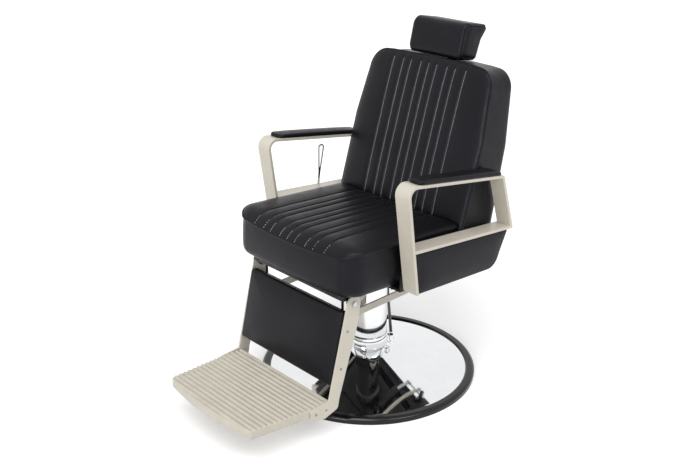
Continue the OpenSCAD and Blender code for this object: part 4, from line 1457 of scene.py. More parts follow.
            other = self._object(name, moved * np.array([-1.0, 1.0, 1.0]), turned)
            fitter.fit(other, self.body, Slot.UPHOLSTERY, [node], self.finish)

    def _freedom(self) -> np.ndarray:
        """How freely each point follows the swelling.

        Returns:
            A share from 0 to 1 for each point.
        """
        work = self.work
        panel = self.region == Region.PANEL
        free = np.where(panel, self._slack(self.near), self.band_swell)
        free = np.where(self.region == Region.BACK, work.back_freedom if self.back_crown else 0.0, free)
        for seam in self.seams:
            tight = np.exp(-(((self.flat[:, 0] - seam) / work.seam_reach) ** 2))
            free = np.where(panel, free * (1 - work.seam_hold * tight), free)
        return free

    def _slack(self, near: np.ndarray) -> np.ndarray:
        """How freely the panel moves at a distance from its edge, from 0 to 1."""
        return np.clip((near - 1) / self.work.free_after, 0, 1)

    def _held(self, points: np.ndarray) -> np.ndarray:
        """Which points of a skin over the cushion are sewn down or rest on its board.

        Args:
            points: the skin's points, in metres.

        Returns:
            True or False for each point.
        """
        tree = nearest(self.points)
        out = np.zeros(len(points), dtype=bool)
        for i, p in enumerate(points):
            _, k, _ = tree.find(p)
            x = self.flat[k][0]
            on_seam = any(abs(x - s) < self.voxel * 0.6 for s in self.seams)
            on_edge = self.piping > 0 and self.near[k] < self.voxel * 0.7
            face = self.region[k]
            out[i] = face == Region.BACK or (face == Region.PANEL and (on_seam or on_edge))
        return out

    @staticmethod
    def _object(name: str, points: np.ndarray, faces: Sequence[tuple[int, ...]]) -> bpy.types.Object:
        """A smooth object with outward faces.

        Args:
            name: the object's name.
            points: its points, in metres.
            faces: its faces, as indices into the points.

        Returns:
            The object.
        """
        mesh = bpy.data.meshes.new(name)
        mesh.from_pydata([tuple(map(float, p)) for p in points], [], list(faces))
        mesh.validate()
        bm = opened(mesh)
        bmesh.ops.recalc_face_normals(bm, faces=bm.faces)
        bm.to_mesh(mesh)
        bm.free()
        mesh.shade_smooth()
        return placed(name, mesh)

    def edge_line(self, out: float, depth: float) -> np.ndarray:
        """The panel's outline, moved out and down, in metres.

        Args:
            out: how far it moves outwards.
            depth: how far it lies under the panel's plane.

        Returns:
            Its points.
        """
        shape = self.mid + (self.outline - self.mid) * (1 + out / self.half)
        return self.place(np.column_stack([shape, np.full(len(shape), -depth)]))

    def _sew_piping(self, fitter: Fitter, sewing: SewingRoom) -> None:
        """Sews a covered cord round the panel's edge.

        Args:
            fitter: puts the piece on its body.
            sewing: the tree for piping.
        """
        source = wires("piping_line", [self.edge_line(0.6 - self.shrink, 0.4)], closed=True)
        piece = sewing.piping.make(self.name + "_piping", source, fitter.palette.cord,
                                   Radius=self.piping * MM, Pucker=0.0007)
        fitter.fit(piece, self.body, Slot.UPHOLSTERY)

    def sew_lines(self, fitter: Fitter, sewing: SewingRoom, ranges: Sequence[Triple],
                  pitch: float, thread: float) -> None:
        """Sews rows of thread along the channels.

        Args:
            fitter: puts the piece on its body.
            sewing: the trees for stitches.
            ranges: each row's place across the panel and its two ends along it.
            pitch: distance from stitch to stitch.
            thread: radius of the thread.
        """
        lines = []
        for x, start, end in ranges:
            ys = np.arange(min(start, end), max(start, end), 3.0)
            flat = np.column_stack([np.full(len(ys), x), ys])
            near = distance_to(flat, self.outline)
            local = np.column_stack([
                self.mid + (flat - self.mid) * (1 - self.shrink / self.half),
                self.height(flat, near) + thread * 0.5])
            world = self.place(local)
            free = self._slack(near) * (1 - self.work.seam_hold)
            lines.append(world + self.billow.at(world, self.swell) * free[:, None])
        source = wires("thread_line", lines)
        piece = sewing.stitches.make(self.name + "_stitches", source, fitter.palette.thread,
                                     Pitch=pitch * MM, Thread=thread * MM, Length=pitch * 0.37 * MM)
        fitter.fit(piece, self.body, Slot.UPHOLSTERY)


@dataclass
class Upholstery:
    """Seat, backrest, headrest, calf pad, arm pads and side panels."""

    fitter: Fitter
    sewing: SewingRoom
    lay: Layout = LAYOUT
    narrow: float = 31.5
    seat_wide: float = 43.2
    back_wide: float = 40.5
    seat_bow: float = 8.0
    side_rise: float = 8.0
    front_drop: float = 24.0
    corner: float = 60.0
    back_thick: float = 118.0
    back_taper: float = 0.104
    back_shift: float = 0.19
    calf_half: float = 109.0
    pad_front: float = 46.0
    pad_rear: float = 386.0

    def seams(self, wide: float) -> tuple[float, ...]:
        """Places of the nine seams across a panel: narrow and wide channels take turns."""
        side = [(k + 1) // 2 * self.narrow + k // 2 * wide for k in range(5)]
        return (*(-x for x in reversed(side[1:])), *side)

    def sew(self, cushion: Cushion, twin: tuple[str, str] | None = None) -> Cushion:
        """Makes a cushion, and its twin where it has one, and gives it back."""
        cushion.build(self.fitter, self.sewing, twin)
        return cushion

    def build(self) -> None:
        """Makes every padded piece."""
        self.seat()
        self.backrest()
        self.headrest()
        self.calf()
        self.arm_pads()
        self.side_panels()

    def seat_front_y(self, x: float) -> float:
        """Front edge of the seat: bowed, then round the corner.

        Args:
            x: place across the seat.

        Returns:
            The edge's place along Y.
        """
        r = self.corner
        straight = self.lay.seat_w / 2 - r
        over = abs(x) - straight
        if over <= 0:
            return -self.lay.seat_front + self.seat_bow * (x / straight) ** 2
        return -self.lay.seat_front + self.seat_bow + r - math.sqrt(max(0, r**2 - over**2))

    def seat(self) -> None:
        """The seat: one thick cushion with channels from front to back."""
        half = self.lay.seat_w / 2
        straight = half - self.corner
        side = [straight + self.corner * math.sin(math.radians(a)) for a in range(5, 91, 5)]
        xs = [-x for x in reversed(side)] + [straight * k / 12 for k in range(-12, 13)] + side
        lower = [(x, self.seat_front_y(x)) for x in xs]
        upper = arched(half, self.lay.seat_rear, 9.0)
        h = self.lay.seat_h
        rings = [(4, 0.4), (6.5, 0.5), (11, 0.4), (18, 0.1), (28, -0.4), (40, -0.8), (52, -1.0), (64, -1.0),
                 (76, -0.6), (88, -0.2), (98, 0.4), (106, 2.0), (112, 4.6), (116, 7.6), (119, 11.4),
                 (120.9, 15.6), (h - 0.15, 20)]
        shell = Place((0, 0, self.lay.seat_z), -self.lay.seat_pitch)
        deck = Place(tuple(shell.matrix @ Vector((0, 0, h))), -self.lay.seat_pitch)

        def place(points: np.ndarray) -> np.ndarray:
            """The seat's frame, with its edge raised at the sides and dropped along the front.

            Args:
                points: local points; their lower face stays level.

            Returns:
                The points in metres.
            """
            fall = np.maximum(0, self.corner - self.lay.seat_front - points[:, 1]) / self.corner
            share = np.maximum(0, 1 + np.minimum(0, points[:, 2]) / h)
            shifted = points.copy()
            shifted[:, 2] += share * (self.side_rise - self.front_drop * fall**2)
            return deck(shifted)

        cushion = self.sew(Cushion(
            "seat_upholstery", "seat", ("seat_cushion",), place, lower, upper, 4.0, rings, edge=3.0,
            roll=(42.0, 14.0), seams=self.seams(self.seat_wide), pitch=self.seat_wide, seam_depth=4.4,
            seam_width=2.1, pillow=1.9, swell=4.0, voxel=7.0, piping=3.1, shrink=1.0, fill=0.9))
        rows = [(x, self.seat_front_y(x) + 2, self.seat_front_y(x) + 21) for x in cushion.seams]
        cushion.sew_lines(self.fitter, self.sewing, rows, pitch=6.2, thread=0.6)

    def backrest(self) -> None:
        """The backrest: a thick tapered cushion with channels and a piped front.

        Its rings' depths are shares of its thickness, which grows towards the bottom.
        """
        half, top, bottom = 258.0, 212.0, 262.0
        r, low_r, taper = 60.0, 12.0, 15 / 140
        turn = math.pi / 2 - math.atan(taper)
        cy = top - r
        cx = half - (cy + r * math.cos(turn)) * taper - r * math.sin(turn)
        inside = self.seams(self.back_wide)[-1] + self.back_wide / 2
        middle = [(x, top + 4 - 3 * (x / cx) ** 2) for x in np.linspace(0, inside, 14)]
        arc = [(cx + r * math.sin(turn * k / 12), cy + r * math.cos(turn * k / 12)) for k in range(13)]
        right = middle + [p for p in arc if p[0] > inside + 1] + [(half - 1, 10), (half, 0)]
        upper = mirrored(right) + right[1:]
        corner = [(half - low_r + low_r * math.sin(a), -bottom + low_r - low_r * math.cos(a))
                  for a in (math.radians(15 * k) for k in range(7))]
        lower = mirrored(corner) + corner
        rings = [(0.035, 0.5), (0.06, 0.6), (0.11, 0.8), (0.18, 1.2), (0.27, 1.6), (0.38, 2.0), (0.5, 2.2),
                 (0.62, 2.3), (0.73, 2.2), (0.83, 2.0), (0.89, 2.2), (0.93, 3.0), (0.96, 4.4), (0.985, 7.4),
                 (1.0, 13)]
        frame = Place((0, *self.lay.back_origin), 90 - self.lay.back_lean)
        span = top + bottom

        def place(points: np.ndarray) -> np.ndarray:
            """The backrest's frame, with the rear face shifted up towards the top.

            Args:
                points: local points.

            Returns:
                The points in metres.
            """
            shifted = points.copy()
            shifted[:, 1] -= np.minimum(0, points[:, 2]) * self.back_shift * (points[:, 1] + bottom) / span
            return frame(shifted)

        cushion = self.sew(Cushion(
            "backrest_upholstery", "back", ("backrest_cushion",), place, lower, upper, 6.0, rings, edge=3.0,
            roll=(48.0, 10.0), seams=self.seams(self.back_wide), pitch=self.back_wide, seam_depth=2.6,
            seam_width=2.6, pillow=1.4, thick=lambda y: self.back_thick - self.back_taper * y, swell=4.5,
            band_swell=0.45, voxel=7.0, piping=3.0, shrink=1.6, fill=0.85, back_crown=4.5, pucker=0.45))
        rows = [(x, -bottom + 8, float(cushion.high_at(x)) - 20) for x in cushion.seams]
        cushion.sew_lines(self.fitter, self.sewing, rows, pitch=6.4, thread=0.75)

    def headrest(self) -> None:
        """The headrest: a bolster with a piped seam round each end panel."""
        y0, z0 = self.lay.post_foot
        section = rounded([(y0 - 90, z0 + 17, 18), (y0 - 64, z0 + 120, 24), (y0 + 37, z0 + 103, 7),
                           (y0 + 6, z0 + 66, 20), (y0 - 16, z0 + 7, 8)], 8)
        points = np.array(section)
        mid = (points.min(axis=0) + points.max(axis=0)) / 2
        small = mid + (points - mid) * 0.87
        first, last = int(small[:, 0].argmin()), int(small[:, 0].argmax())
        loop = [tuple(map(float, p)) for p in small]
        if area(small) < 0:
            loop = loop[::-1]
            first, last = len(loop) - 1 - first, len(loop) - 1 - last
        ring = loop[first:] + loop[:first]
        cut = (last - first) % len(loop)
        lower, upper = ring[: cut + 1], (ring[cut:] + ring[:1])[::-1]
        lower = [p for i, p in enumerate(lower) if i == 0 or p[0] > lower[i - 1][0] + 1e-4]
        upper = [p for i, p in enumerate(upper) if i == 0 or p[0] > upper[i - 1][0] + 1e-4]
        half, full = 102.0, -9.2
        edge = [(1.2, -3.4), (2.6, -5.9), (4.6, -7.9), (7.2, -9.0), (11, full)]
        rings = edge + [(float(d), full) for d in np.linspace(18, 2 * half - 18, 24)]
        rings += [(2 * half - d, inset) for d, inset in reversed(edge)] + [(2 * half, 0.0)]

        def place(points: np.ndarray) -> np.ndarray:
            """Takes the section's plane to the left end and depth to the right."""
            return np.column_stack([half + points[:, 2], points[:, 0], points[:, 1]]) * MM

        cushion = self.sew(Cushion(
            "headrest_upholstery", "head", ("headrest_cushion",), place, lower, upper, 2.5, rings, edge=1.0,
            roll=(14.0, 5.0), swell=3.0, band_swell=0.5, voxel=5.0, pucker=0.6, step=3.0, cell=6.0, fill=0.8,
            back_crown=2.5, shrink=0.6))
        for side, depth in (("left", 0.3), ("right", 2 * half - 0.3)):
            source = wires("end_seam", [cushion.edge_line(1.5, depth)], closed=True)
            piece = self.sewing.piping.make(f"headrest_piping_{side}", source, self.fitter.palette.cord,
                                            Radius=1.7 * MM, Pucker=0.0009)
            self.fitter.fit(piece, "head", Slot.UPHOLSTERY)

    def calf(self) -> None:
        """The calf pad between the legrest's plates."""
        upper = arched(self.lay.leg_x - 1, self.calf_half, 9.0)
        lower = [(x, -y) for x, y in upper]
        place = Place((0, *self.lay.calf_mid), 90 - self.lay.calf_lean)
        rings = [(8.5, 0.1), (12, 0.2), (16, 0.3), (20, 0.5), (22.2, 1.2), (23.9, 3.4)]
        self.sew(Cushion("calf_pad_upholstery", "legrest", ("calf_pad",), place, lower, upper, 8.0, rings,
                         edge=8.0, swell=3.0, band_swell=0.2, voxel=6.0, pucker=0.15, fill=0.8, shrink=0.7))

    def arm_pads(self) -> None:
        """The pads on the arms' upper bars."""
        half = self.lay.arm_w / 2 + 1
        front = [(x, self.pad_front + 14 * abs(x / half) ** 4) for x in np.linspace(-half, half, 25)]
        rear = arched(half, self.pad_rear, 5.0, 18)
        loop = self.lay.arm_loop()
        slope = math.degrees(math.atan2(loop[1][1] - loop[0][1], loop[1][0] - loop[0][0]))
        base = Matrix.Translation((self.lay.arm_x + self.lay.arm_w / 2, loop[0][0], loop[0][1]))
        deck = base @ Matrix.Rotation(math.radians(slope), 4, "X") @ Vector((0, 0, 11.1))
        rings = [(6.2, -0.4), (8.2, -0.2), (9.8, 0.4), (11, 2.2)]
        place = Place(tuple(deck), slope)
        pad = Cushion("arm_pad_left_skin", "seat", ("arm_pad_left",), place, front, rear, 3.4, rings,
                      edge=5.0, swell=1.6, band_swell=0.3, voxel=4.5, pucker=0.0, step=3.0, cell=6.0,
                      fill=0.95, shrink=0.3, finish=self.fitter.palette.pad)
        self.sew(pad, ("arm_pad_right_skin", "arm_pad_right"))

    def side_panels(self) -> None:
        """The padded panels that fill the lower part of each arm."""
        lay = self.lay
        front = lay.arm_front_y(0) + lay.arm_t + 0.6

        bend, bend_r, lowest = 190.0, 46.0, -18.1
        rear = bend + bend_r

        def lower(y: float) -> float:
            """Lower edge of the panel: straight, round the bend, then up the rear.

            Args:
                y: place along the panel.

            Returns:
                Its height over the seat's level.
            """
            if y < bend:
                return -0.0575 * (y + 119) - 0.3
            if y < rear:
                return lowest + bend_r - math.sqrt(max(0, bend_r**2 - (y - bend) ** 2))
            return lowest + bend_r - 6.5 + (y - rear) * 1.9

        stretches = ((front, bend - 2, 60), (bend, rear - 2, 16), (rear + 1, 269.5, 11))
        ys = [y for stretch in stretches for y in np.linspace(*stretch)]
        low = [(float(y), lower(float(y))) for y in ys]
        high = [(float(y), 128.7 - (float(y) + 141) * 0.0893 - 1.7) for y in ys]
        inner, thick = lay.arm_x + 0.3, lay.arm_w - 4

        def place(points: np.ndarray) -> np.ndarray:
            """Takes the panel's face to the arm's outer side, leaning with the front leg.

            Args:
                points: places along the panel, over the seat's level and across.

            Returns:
                The points in metres.
            """
            y, up = points[:, 0], points[:, 1]
            lean = np.where(y < 0, lay.arm_lean * up * (-y / 120), 0)
            return np.column_stack([inner + thick - 4 + points[:, 2], y - lean, lay.seat_z + up]) * MM

        rings = [(5.5, 0.0), (9, 0.1), (14, 0.3), (20, 0.5), (26, 0.6), (32, 0.5), (38, 0.3), (41, 0.6),
                 (43, 1.4), (44, 3.2)]
        panel = Cushion("side_panel_left_skin", "seat", ("side_panel_left",), place, low, high, 3.4, rings,
                        edge=5.0, swell=2.4, band_swell=0.2, voxel=6.0, pucker=0.15, fill=0.85, shrink=0.6)
        self.sew(panel, ("side_panel_right_skin", "side_panel_right"))


# ---- metalwork


@dataclass
class Base:
    """Cover, trim ring, collar, column sleeve and pump lever."""

    fitter: Fitter
    lay: Layout = LAYOUT
    rim: float = 306.7
    trim_inner: float = 307.0
    trim_outer: float = 334.0
    trim_h: float = 19.0
    neck_r: float = 48.95
    neck_z: float = 80.0
    bore: float = 45.2
    collar_r: float = 62.0
    collar_z: float = 84.0
    collar_top: float = 128.0
    cup_z: float = 115.0
    shaft_up: float = 22.0
    shaft_r: float = 7.0
    sleeve_r: float = 57.5
    sleeve_top: float = 350.3
    lever_rise: float = 6.0
    pedal_out: float = 296.0
    pedal_r: float = 10.5

    def build(self) -> None:
        """Makes each piece."""
        self.cover()
        self.trim()
        self.collar()
        self.sleeve()
        self.pump()

    def cover(self) -> None:
        """The shallow cover: a cone with a rolled rim and a small fillet at the collar's neck."""
        rim, rim_z, neck, top = self.rim, 15.0, self.neck_r, self.neck_z
        slope = (top - rim_z) / (rim - neck - 0.3)
        outer = [(rim, rim_z - 1.4), (rim - 0.1, rim_z - 0.6), (rim - 0.5, rim_z), (rim - 1.6, rim_z + 0.4)]
        steps = [rim - 4 - (rim - neck - 14) * k / 14 for k in range(15)]
        outer += [(r, rim_z + (rim - r) * slope) for r in steps]
        outer += [(neck + 6, top - 1.35), (neck + 3, top - 0.5), (neck + 0.4, top)]
        inner = [(neck + 0.4, top - 2.2), (rim - 2, rim_z - 1.8), (rim - 0.6, rim_z - 2)]
        self.fitter.fit(lathe("base_cover_plated", outer + inner, 256), "base", Slot.CHROME, ["base_cover"])

    def trim(self) -> None:
        """The enamelled ring round the base."""
        inner, outer, high = self.trim_inner, self.trim_outer, self.trim_h
        section = rounded([(inner, 0, 0.3), (outer, 0, 1.2), (outer, high * 0.72, 7), (outer - 8, high, 5),
                           (inner + 3, high, 2.4), (inner, high - 3, 0.6)], 6)
        ring = lathe("base_trim_enamelled", section, 256)
        self.fitter.fit(ring, "base", Slot.TRIM_BLACK, ["base_trim_ring"])

    def collar(self) -> None:
        """The plated collar: neck, chamfered cup, a boss for the shaft and one for the clamp screw."""
        z, top = self.collar_z, self.collar_top
        neck, cup_r, sleeve = self.neck_r, self.collar_r, self.sleeve_r
        profile = [(self.bore, self.neck_z - 2), (neck, self.neck_z - 2), (neck, z - 0.6), (neck + 0.6, z),
                   (neck + 3.4, z), (cup_r - 1.1, z + 7.6), (cup_r - 0.3, z + 8.6), (cup_r, z + 9.8),
                   (cup_r, top - 1.8), (cup_r - 0.25, top - 0.9), (cup_r - 0.9, top - 0.25),
                   (cup_r - 1.8, top), (sleeve + 1.5, top), (sleeve + 0.9, top - 0.3),
                   (sleeve + 0.7, top - 0.9), (sleeve + 0.7, self.cup_z), (self.bore, self.cup_z)]
        cup = lathe("pump_collar_plated", profile, 192)
        bm = opened(cup.data)
        shaft_boss = (cup_r - 8, self.shaft_up, 13.0, 11.0)
        screw_boss = (neck - 2, 1.0, 4.0, cup_r + 3 - neck)
        for along, up, radius, length in (shaft_boss, screw_boss):
            spindle(bm, softened(length, radius, 1.1, along), self.shaft_frame(z + up))
        mesh = cup.data
        bpy.data.objects.remove(cup, do_unlink=True)
        bpy.data.meshes.remove(mesh)
        self.fitter.fit(finish_mesh("pump_collar_plated", bm), "base", Slot.CHROME, ["pump_collar"])
        self.fitter.refine("collar_screw", 0.7, self.fitter.palette.slots[Slot.CHROME])

    def shaft_frame(self, height: float) -> Matrix:
        """Frame whose X points out of the collar along the pump shaft, in metres."""
        turn = Matrix.Rotation(math.radians(self.lay.shaft_dir), 4, "Z")
        return Matrix.Scale(MM, 4) @ Matrix.Translation((0, 0, height)) @ turn

    def sleeve(self) -> None:
        """The plated column sleeve, with its rolled upper edge."""
        r, top, low = self.sleeve_r, self.sleeve_top, self.cup_z + 1
        wall = [(r, low + up) for up in (0, 30, 60, 100, 150, 195)]
        profile = [(r - 2.5, low), *wall, (r, top - 1.2), (r - 0.35, top - 0.35), (r - 1.2, top),
                   (r - 1.9, top - 0.2), (r - 2.5, top - 0.9)]
        self.fitter.fit(lathe("column_sleeve_plated", profile, 224), "base", Slot.CHROME, ["column_sleeve"])

    def pump(self) -> None:
        """The lever's plated hub, its black rod and the pedal's rubbers."""
        fitter = self.fitter
        hub = self.shaft_frame(self.collar_z + self.shaft_up)
        out, shaft_r = self.collar_r + 4, self.shaft_r
        square = Matrix.Rotation(math.radians(90), 4, "Z")
        bm = bmesh.new()
        spindle(bm, softened(12, shaft_r + 6, 1.4, out), hub)
        spindle(bm, softened(3.4, shaft_r + 1.5, 0.9, out + 10.6), hub, 6)
        fitter.fit(finish_mesh("pump_hub_plated", bm), "pump_pedal", Slot.CHROME)
        rise = Matrix.Rotation(math.radians(-self.lever_rise), 4, "Y")
        lever = hub @ Matrix.Translation((out + 6, 0, 0)) @ square @ rise
        bm = bmesh.new()
        spindle(bm, softened(self.pedal_out - shaft_r, 5.0, 1.0, shaft_r + 3), lever, 28)
        bar = lever @ Matrix.Translation((self.pedal_out, 0, 0)) @ square
        spindle(bm, softened(76, 6.0, 1.5, -38), bar, 28)
        rod = finish_mesh("pump_lever_rod", bm)
        fitter.fit(rod, "pump_pedal", Slot.TRIM_BLACK, ["pump_lever"], fitter.palette.lever)
        bm = bmesh.new()
        for side in (-1, 1):
            spindle(bm, self.rubber(side * 24 - 13, 26), bar, 32)
        fitter.fit(finish_mesh("pedal_rubbers", bm), "pump_pedal", Slot.RUBBER, ["pedal_sleeve"])

    def rubber(self, start: float, length: float) -> list[Point]:
        """Profile of a pedal rubber with grooves round it.

        Args:
            start: where it starts along the pedal's bar.
            length: its length.

        Returns:
            Its (along, radius) points.
        """
        first, last = (start, 6.2), (start + length, 6.2)
        profile = [first] + softened(length, self.pedal_r, 1.6, start) + [last]
        grip: list[Point] = []
        for a, b in zip(profile, profile[1:]):
            grip.append(a)
            if b[0] - a[0] > 15:
                grip += [(a[0] + (b[0] - a[0]) * k / 18, self.pedal_r - (0.8 if k % 3 == 0 else 0))
                         for k in range(1, 18)]
        return grip + [last]


def strap(p: Point, q: Point, radius: float, steps: int = 20) -> list[Point]:
    """Outline of a flat bar with round ends.

    Args:
        p: centre of one end.
        q: centre of the other end.
        radius: radius of the ends.
        steps: chords in each end.

    Returns:
        Its points.
    """
    way = math.atan2(q[1] - p[1], q[0] - p[0])
    out: list[Point] = []
    for centre, start in ((q, way - math.pi / 2), (p, way + math.pi / 2)):
        for k in range(steps + 1):
            a = start + math.pi * k / steps
            out.append((centre[0] + radius * math.cos(a), centre[1] + radius * math.sin(a)))
    return out


def circle(p: Point, radius: float, steps: int = 40) -> list[Point]:
    """Outline of a round hole."""
    turns = [2 * math.pi * k / steps for k in range(steps)]
    return [(p[0] + radius * math.cos(a), p[1] + radius * math.sin(a)) for a in turns]


@dataclass
class Frames:
    """Painted flat-bar work: arm frames and link bars."""

    fitter: Fitter
    lay: Layout = LAYOUT
    edge: float = 1.1
    link_x: float = 144.5
    link_t: float = 5.0

    def build(self) -> None:
        """Makes the arm frames and link bars of both sides."""
        lay = self.lay
        loop = lay.arm_loop()
        z = lay.seat_z
        foot, joint = lay.arm_foot, 127.9
        outer = rounded([*loop[:3], (lay.arm_front_y(joint) + lay.arm_t, z + joint, 0.6),
                         (lay.arm_front_y(foot) + lay.arm_t, z + foot, 1.2),
                         (lay.arm_front_y(foot), z + foot, 1.2)], 12)
        window = rounded(inset_corners(loop, lay.arm_t), 12)
        bar = strap(lay.leg_pin, lay.back_pin, 11.0)
        holes = [circle(lay.leg_pin, 7.05), circle(lay.back_pin, 6.3)]
        for side, s in (("left", 1), ("right", -1)):
            x = sorted((s * lay.arm_x, s * (lay.arm_x + lay.arm_w)))
            arm = plate(f"arm_frame_{side}_painted", [outer, window], x[0], x[1], self.edge)
            self.fitter.fit(arm, "seat", Slot.FRAME_PAINT, [f"arm_frame_{side}"])
            x = sorted((s * self.link_x, s * (self.link_x + self.link_t)))
            link = plate(f"link_bar_{side}_painted", [bar, *holes], x[0], x[1], 0.8)
            self.fitter.fit(link, f"link_{side}", Slot.FRAME_PAINT, [f"link_bar_{side}"])


@dataclass
class Legrest:
    """Side plates, ribbed footrest and screws of the legrest."""

    fitter: Fitter
    sewing: SewingRoom
    lay: Layout = LAYOUT
    foot_len: float = 260.0
    front_w: float = 370.0
    ribs: int = 16
    rib_h: float = 4.0
    foot_h: float = 30.0
    foot_bend: float = 70.0
    bow: float = 17.0
    pivot_r: float = 25.0

    def build(self) -> None:
        """Makes each piece."""
        self.plates()
        self.footrest()
        self.screws()

    def screw_places(self) -> list[Point]:
        """Places of the screws in a side plate: two in the calf board, two in the footrest.

        Returns:
            (y, z) of each screw.
        """
        lean = math.radians(self.lay.calf_lean)
        sine, cosine = math.sin(lean), math.cos(lean)
        y, z = self.lay.calf_mid
        deep = 27.0
        board = [(y + up * sine + deep * cosine, z + up * cosine - deep * sine) for up in (52, -58)]
        fy, fz = self.lay.foot_rear
        return [*board, (fy - 52, fz - 20), (fy - 15, fz - 21)]

    def plates(self) -> None:
        """The painted side plates that bend into the footrest."""
        py, pz = self.lay.leg_pivot
        fy, fz = self.lay.foot_rear
        r = self.pivot_r
        arc = [(py + r * math.cos(a), pz + r * math.sin(a)) for a in (math.radians(9 * k) for k in range(21))]
        corners = [(py - r, pz, 0.0), (fy - 4, fz + 4, 4), (fy - 72, fz - 1, 4), (fy - 67, fz - 32, 4),
                   (fy - 21, fz - 47, 10), (fy + 29, fz - 33, 12), (fy + 35, fz - 3, 6),
                   (py + 17, pz - 56, 20), (py + r, pz, 0.0)]
        outline = rounded(corners, 9) + arc[1:-1]
        hole = circle(self.lay.leg_pivot, 6.05)
        for side, s in (("left", 1), ("right", -1)):
            x = sorted((s * self.lay.leg_x, s * (self.lay.leg_x + self.lay.leg_t)))
            piece = plate(f"leg_plate_{side}_painted", [outline, hole], x[0], x[1], 0.9)
            self.fitter.fit(piece, "legrest", Slot.FRAME_PAINT, [f"leg_plate_{side}"])

    def half_width(self, y: float) -> float:
        """Half of the footrest's width, which tapers in front of the side plates.

        Args:
            y: place along the footrest, in its own frame.

        Returns:
            Half of the width there.
        """
        gap = 0.3
        rear, bend = self.lay.leg_x - gap, self.foot_bend
        if y > -bend:
            return rear - gap * (-y / bend if y < 0 else 0)
        front = self.front_w / 2
        return rear - gap + (front - rear + gap) * (-bend - y) / (self.foot_len - 3 - bend)

    def footrest(self) -> None:
        """The cast footrest: ribs across its top, a plain rim and a hollow underside."""
        n = self.ribs * 10
        long = self.foot_len - 3
        run = [1.0 - (1 + long) * k / n for k in range(n + 1)]
        across = [0, 0.006, 0.014, 0.03] + [0.08 * k for k in range(1, 13)]
        across = sorted({-(1 - a) for a in across if a < 1} | {(1 - a) for a in across if a <= 1})
        bm = bmesh.new()
        run_key = bm.verts.layers.float.new("run")
        top_key = bm.verts.layers.float.new("top")

        def vert(x: float, y: float, z: float, top: float) -> bmesh.types.BMVert:
            """Adds a point of the casting.

            Args:
                x: place across the footrest.
                y: place along it.
                z: height over its top.
                top: 1 where the ribs move the point, 0 elsewhere.

            Returns:
                The point, marked with its share of the length and with top.
            """
            v = bm.verts.new((x, y, z))
            v[run_key] = max(0.0, min(1.1, -y / self.foot_len))
            v[top_key] = top
            return v

        def bow(x: float, y: float) -> float:
            """The rows bow forwards, more and more towards the front edge and its round corners.

            Args:
                x: place across the footrest.
                y: place along it before the bow.

            Returns:
                The place along it.
            """
            t = max(0.0, -y / long)
            u = min(1.0, abs(x) / (self.front_w / 2))
            return y - self.bow * t**1.6 * (1 - u * u) + 2.5 * t**12 * max(0.0, u - 0.95) ** 2 / 0.0025

        def drop(a: float) -> float:
            """Rounding of the top's side edges.

            Args:
                a: place across as a share of the half width.

            Returns:
                How far the top drops there.
            """
            edge, half = 1.6, 190
            t = max(0.0, 1 - (1 - abs(a)) * half / edge)
            return edge * (1 - math.sqrt(max(0.0, 1 - t**2)))

        grid = []
        for y in run:
            w = self.half_width(y)
            grid.append([vert(a * w, bow(a * w, y), -drop(a), 1.0) for a in across])
        for r0, r1 in zip(grid, grid[1:]):
            for i in range(len(across) - 1):
                bm.faces.new((r0[i], r0[i + 1], r1[i + 1], r1[i]))
        between = grid[1:-1]
        rim = grid[0] + [row[-1] for row in between] + grid[-1][::-1] + [row[0] for row in reversed(between)]
        middle, half = -self.foot_len / 2, 200
        wall, roof = 6.0, -self.rib_h - 5.0

        def skirt(z: float, inset: float) -> list[bmesh.types.BMVert]:
            """A ring under the rim.

            Args:
                z: its height.
                inset: how far it is drawn in.

            Returns:
                Its points.
            """
            out = []
            for v in rim:
                x = v.co.x * (1 - inset / half)
                y = middle + (v.co.y - middle) * (1 + inset / middle)
                out.append(vert(x, y, z, 0.0))
            return out

        foot = -self.foot_h
        loops = [rim, skirt(-8.5, 0), skirt(foot + 2.2, 0.2), skirt(foot + 0.6, 0.8), skirt(foot, 2.0),
                 skirt(foot, wall), skirt(roof - 2, wall + 0.8), skirt(roof, wall + 3)]
        for low, high in zip(loops, loops[1:]):
            bridge(bm, low, high)
        bm.faces.new(loops[-1])
        bmesh.ops.triangulate(bm, faces=[f for f in bm.faces if len(f.verts) > 4])
        source = finish_mesh("casting", bm)
        piece = self.sewing.ribs.make("footrest_cast", source, self.fitter.palette.slots[Slot.CAST_ALUMINIUM],
                                      Count=self.ribs, Height=self.rib_h)
        piece.data.transform(Place((0, *self.lay.foot_rear), -self.lay.foot_tilt).metres)
        bm = opened(piece.data)
        bmesh.ops.recalc_face_normals(bm, faces=bm.faces)
        for edge in bm.edges:
            if len(edge.link_faces) == 2:
                edge.smooth = edge.calc_face_angle() < math.radians(40)
        bm.to_mesh(piece.data)
        bm.free()
        self.fitter.fit(piece, "legrest", Slot.CAST_ALUMINIUM, ["footrest"])

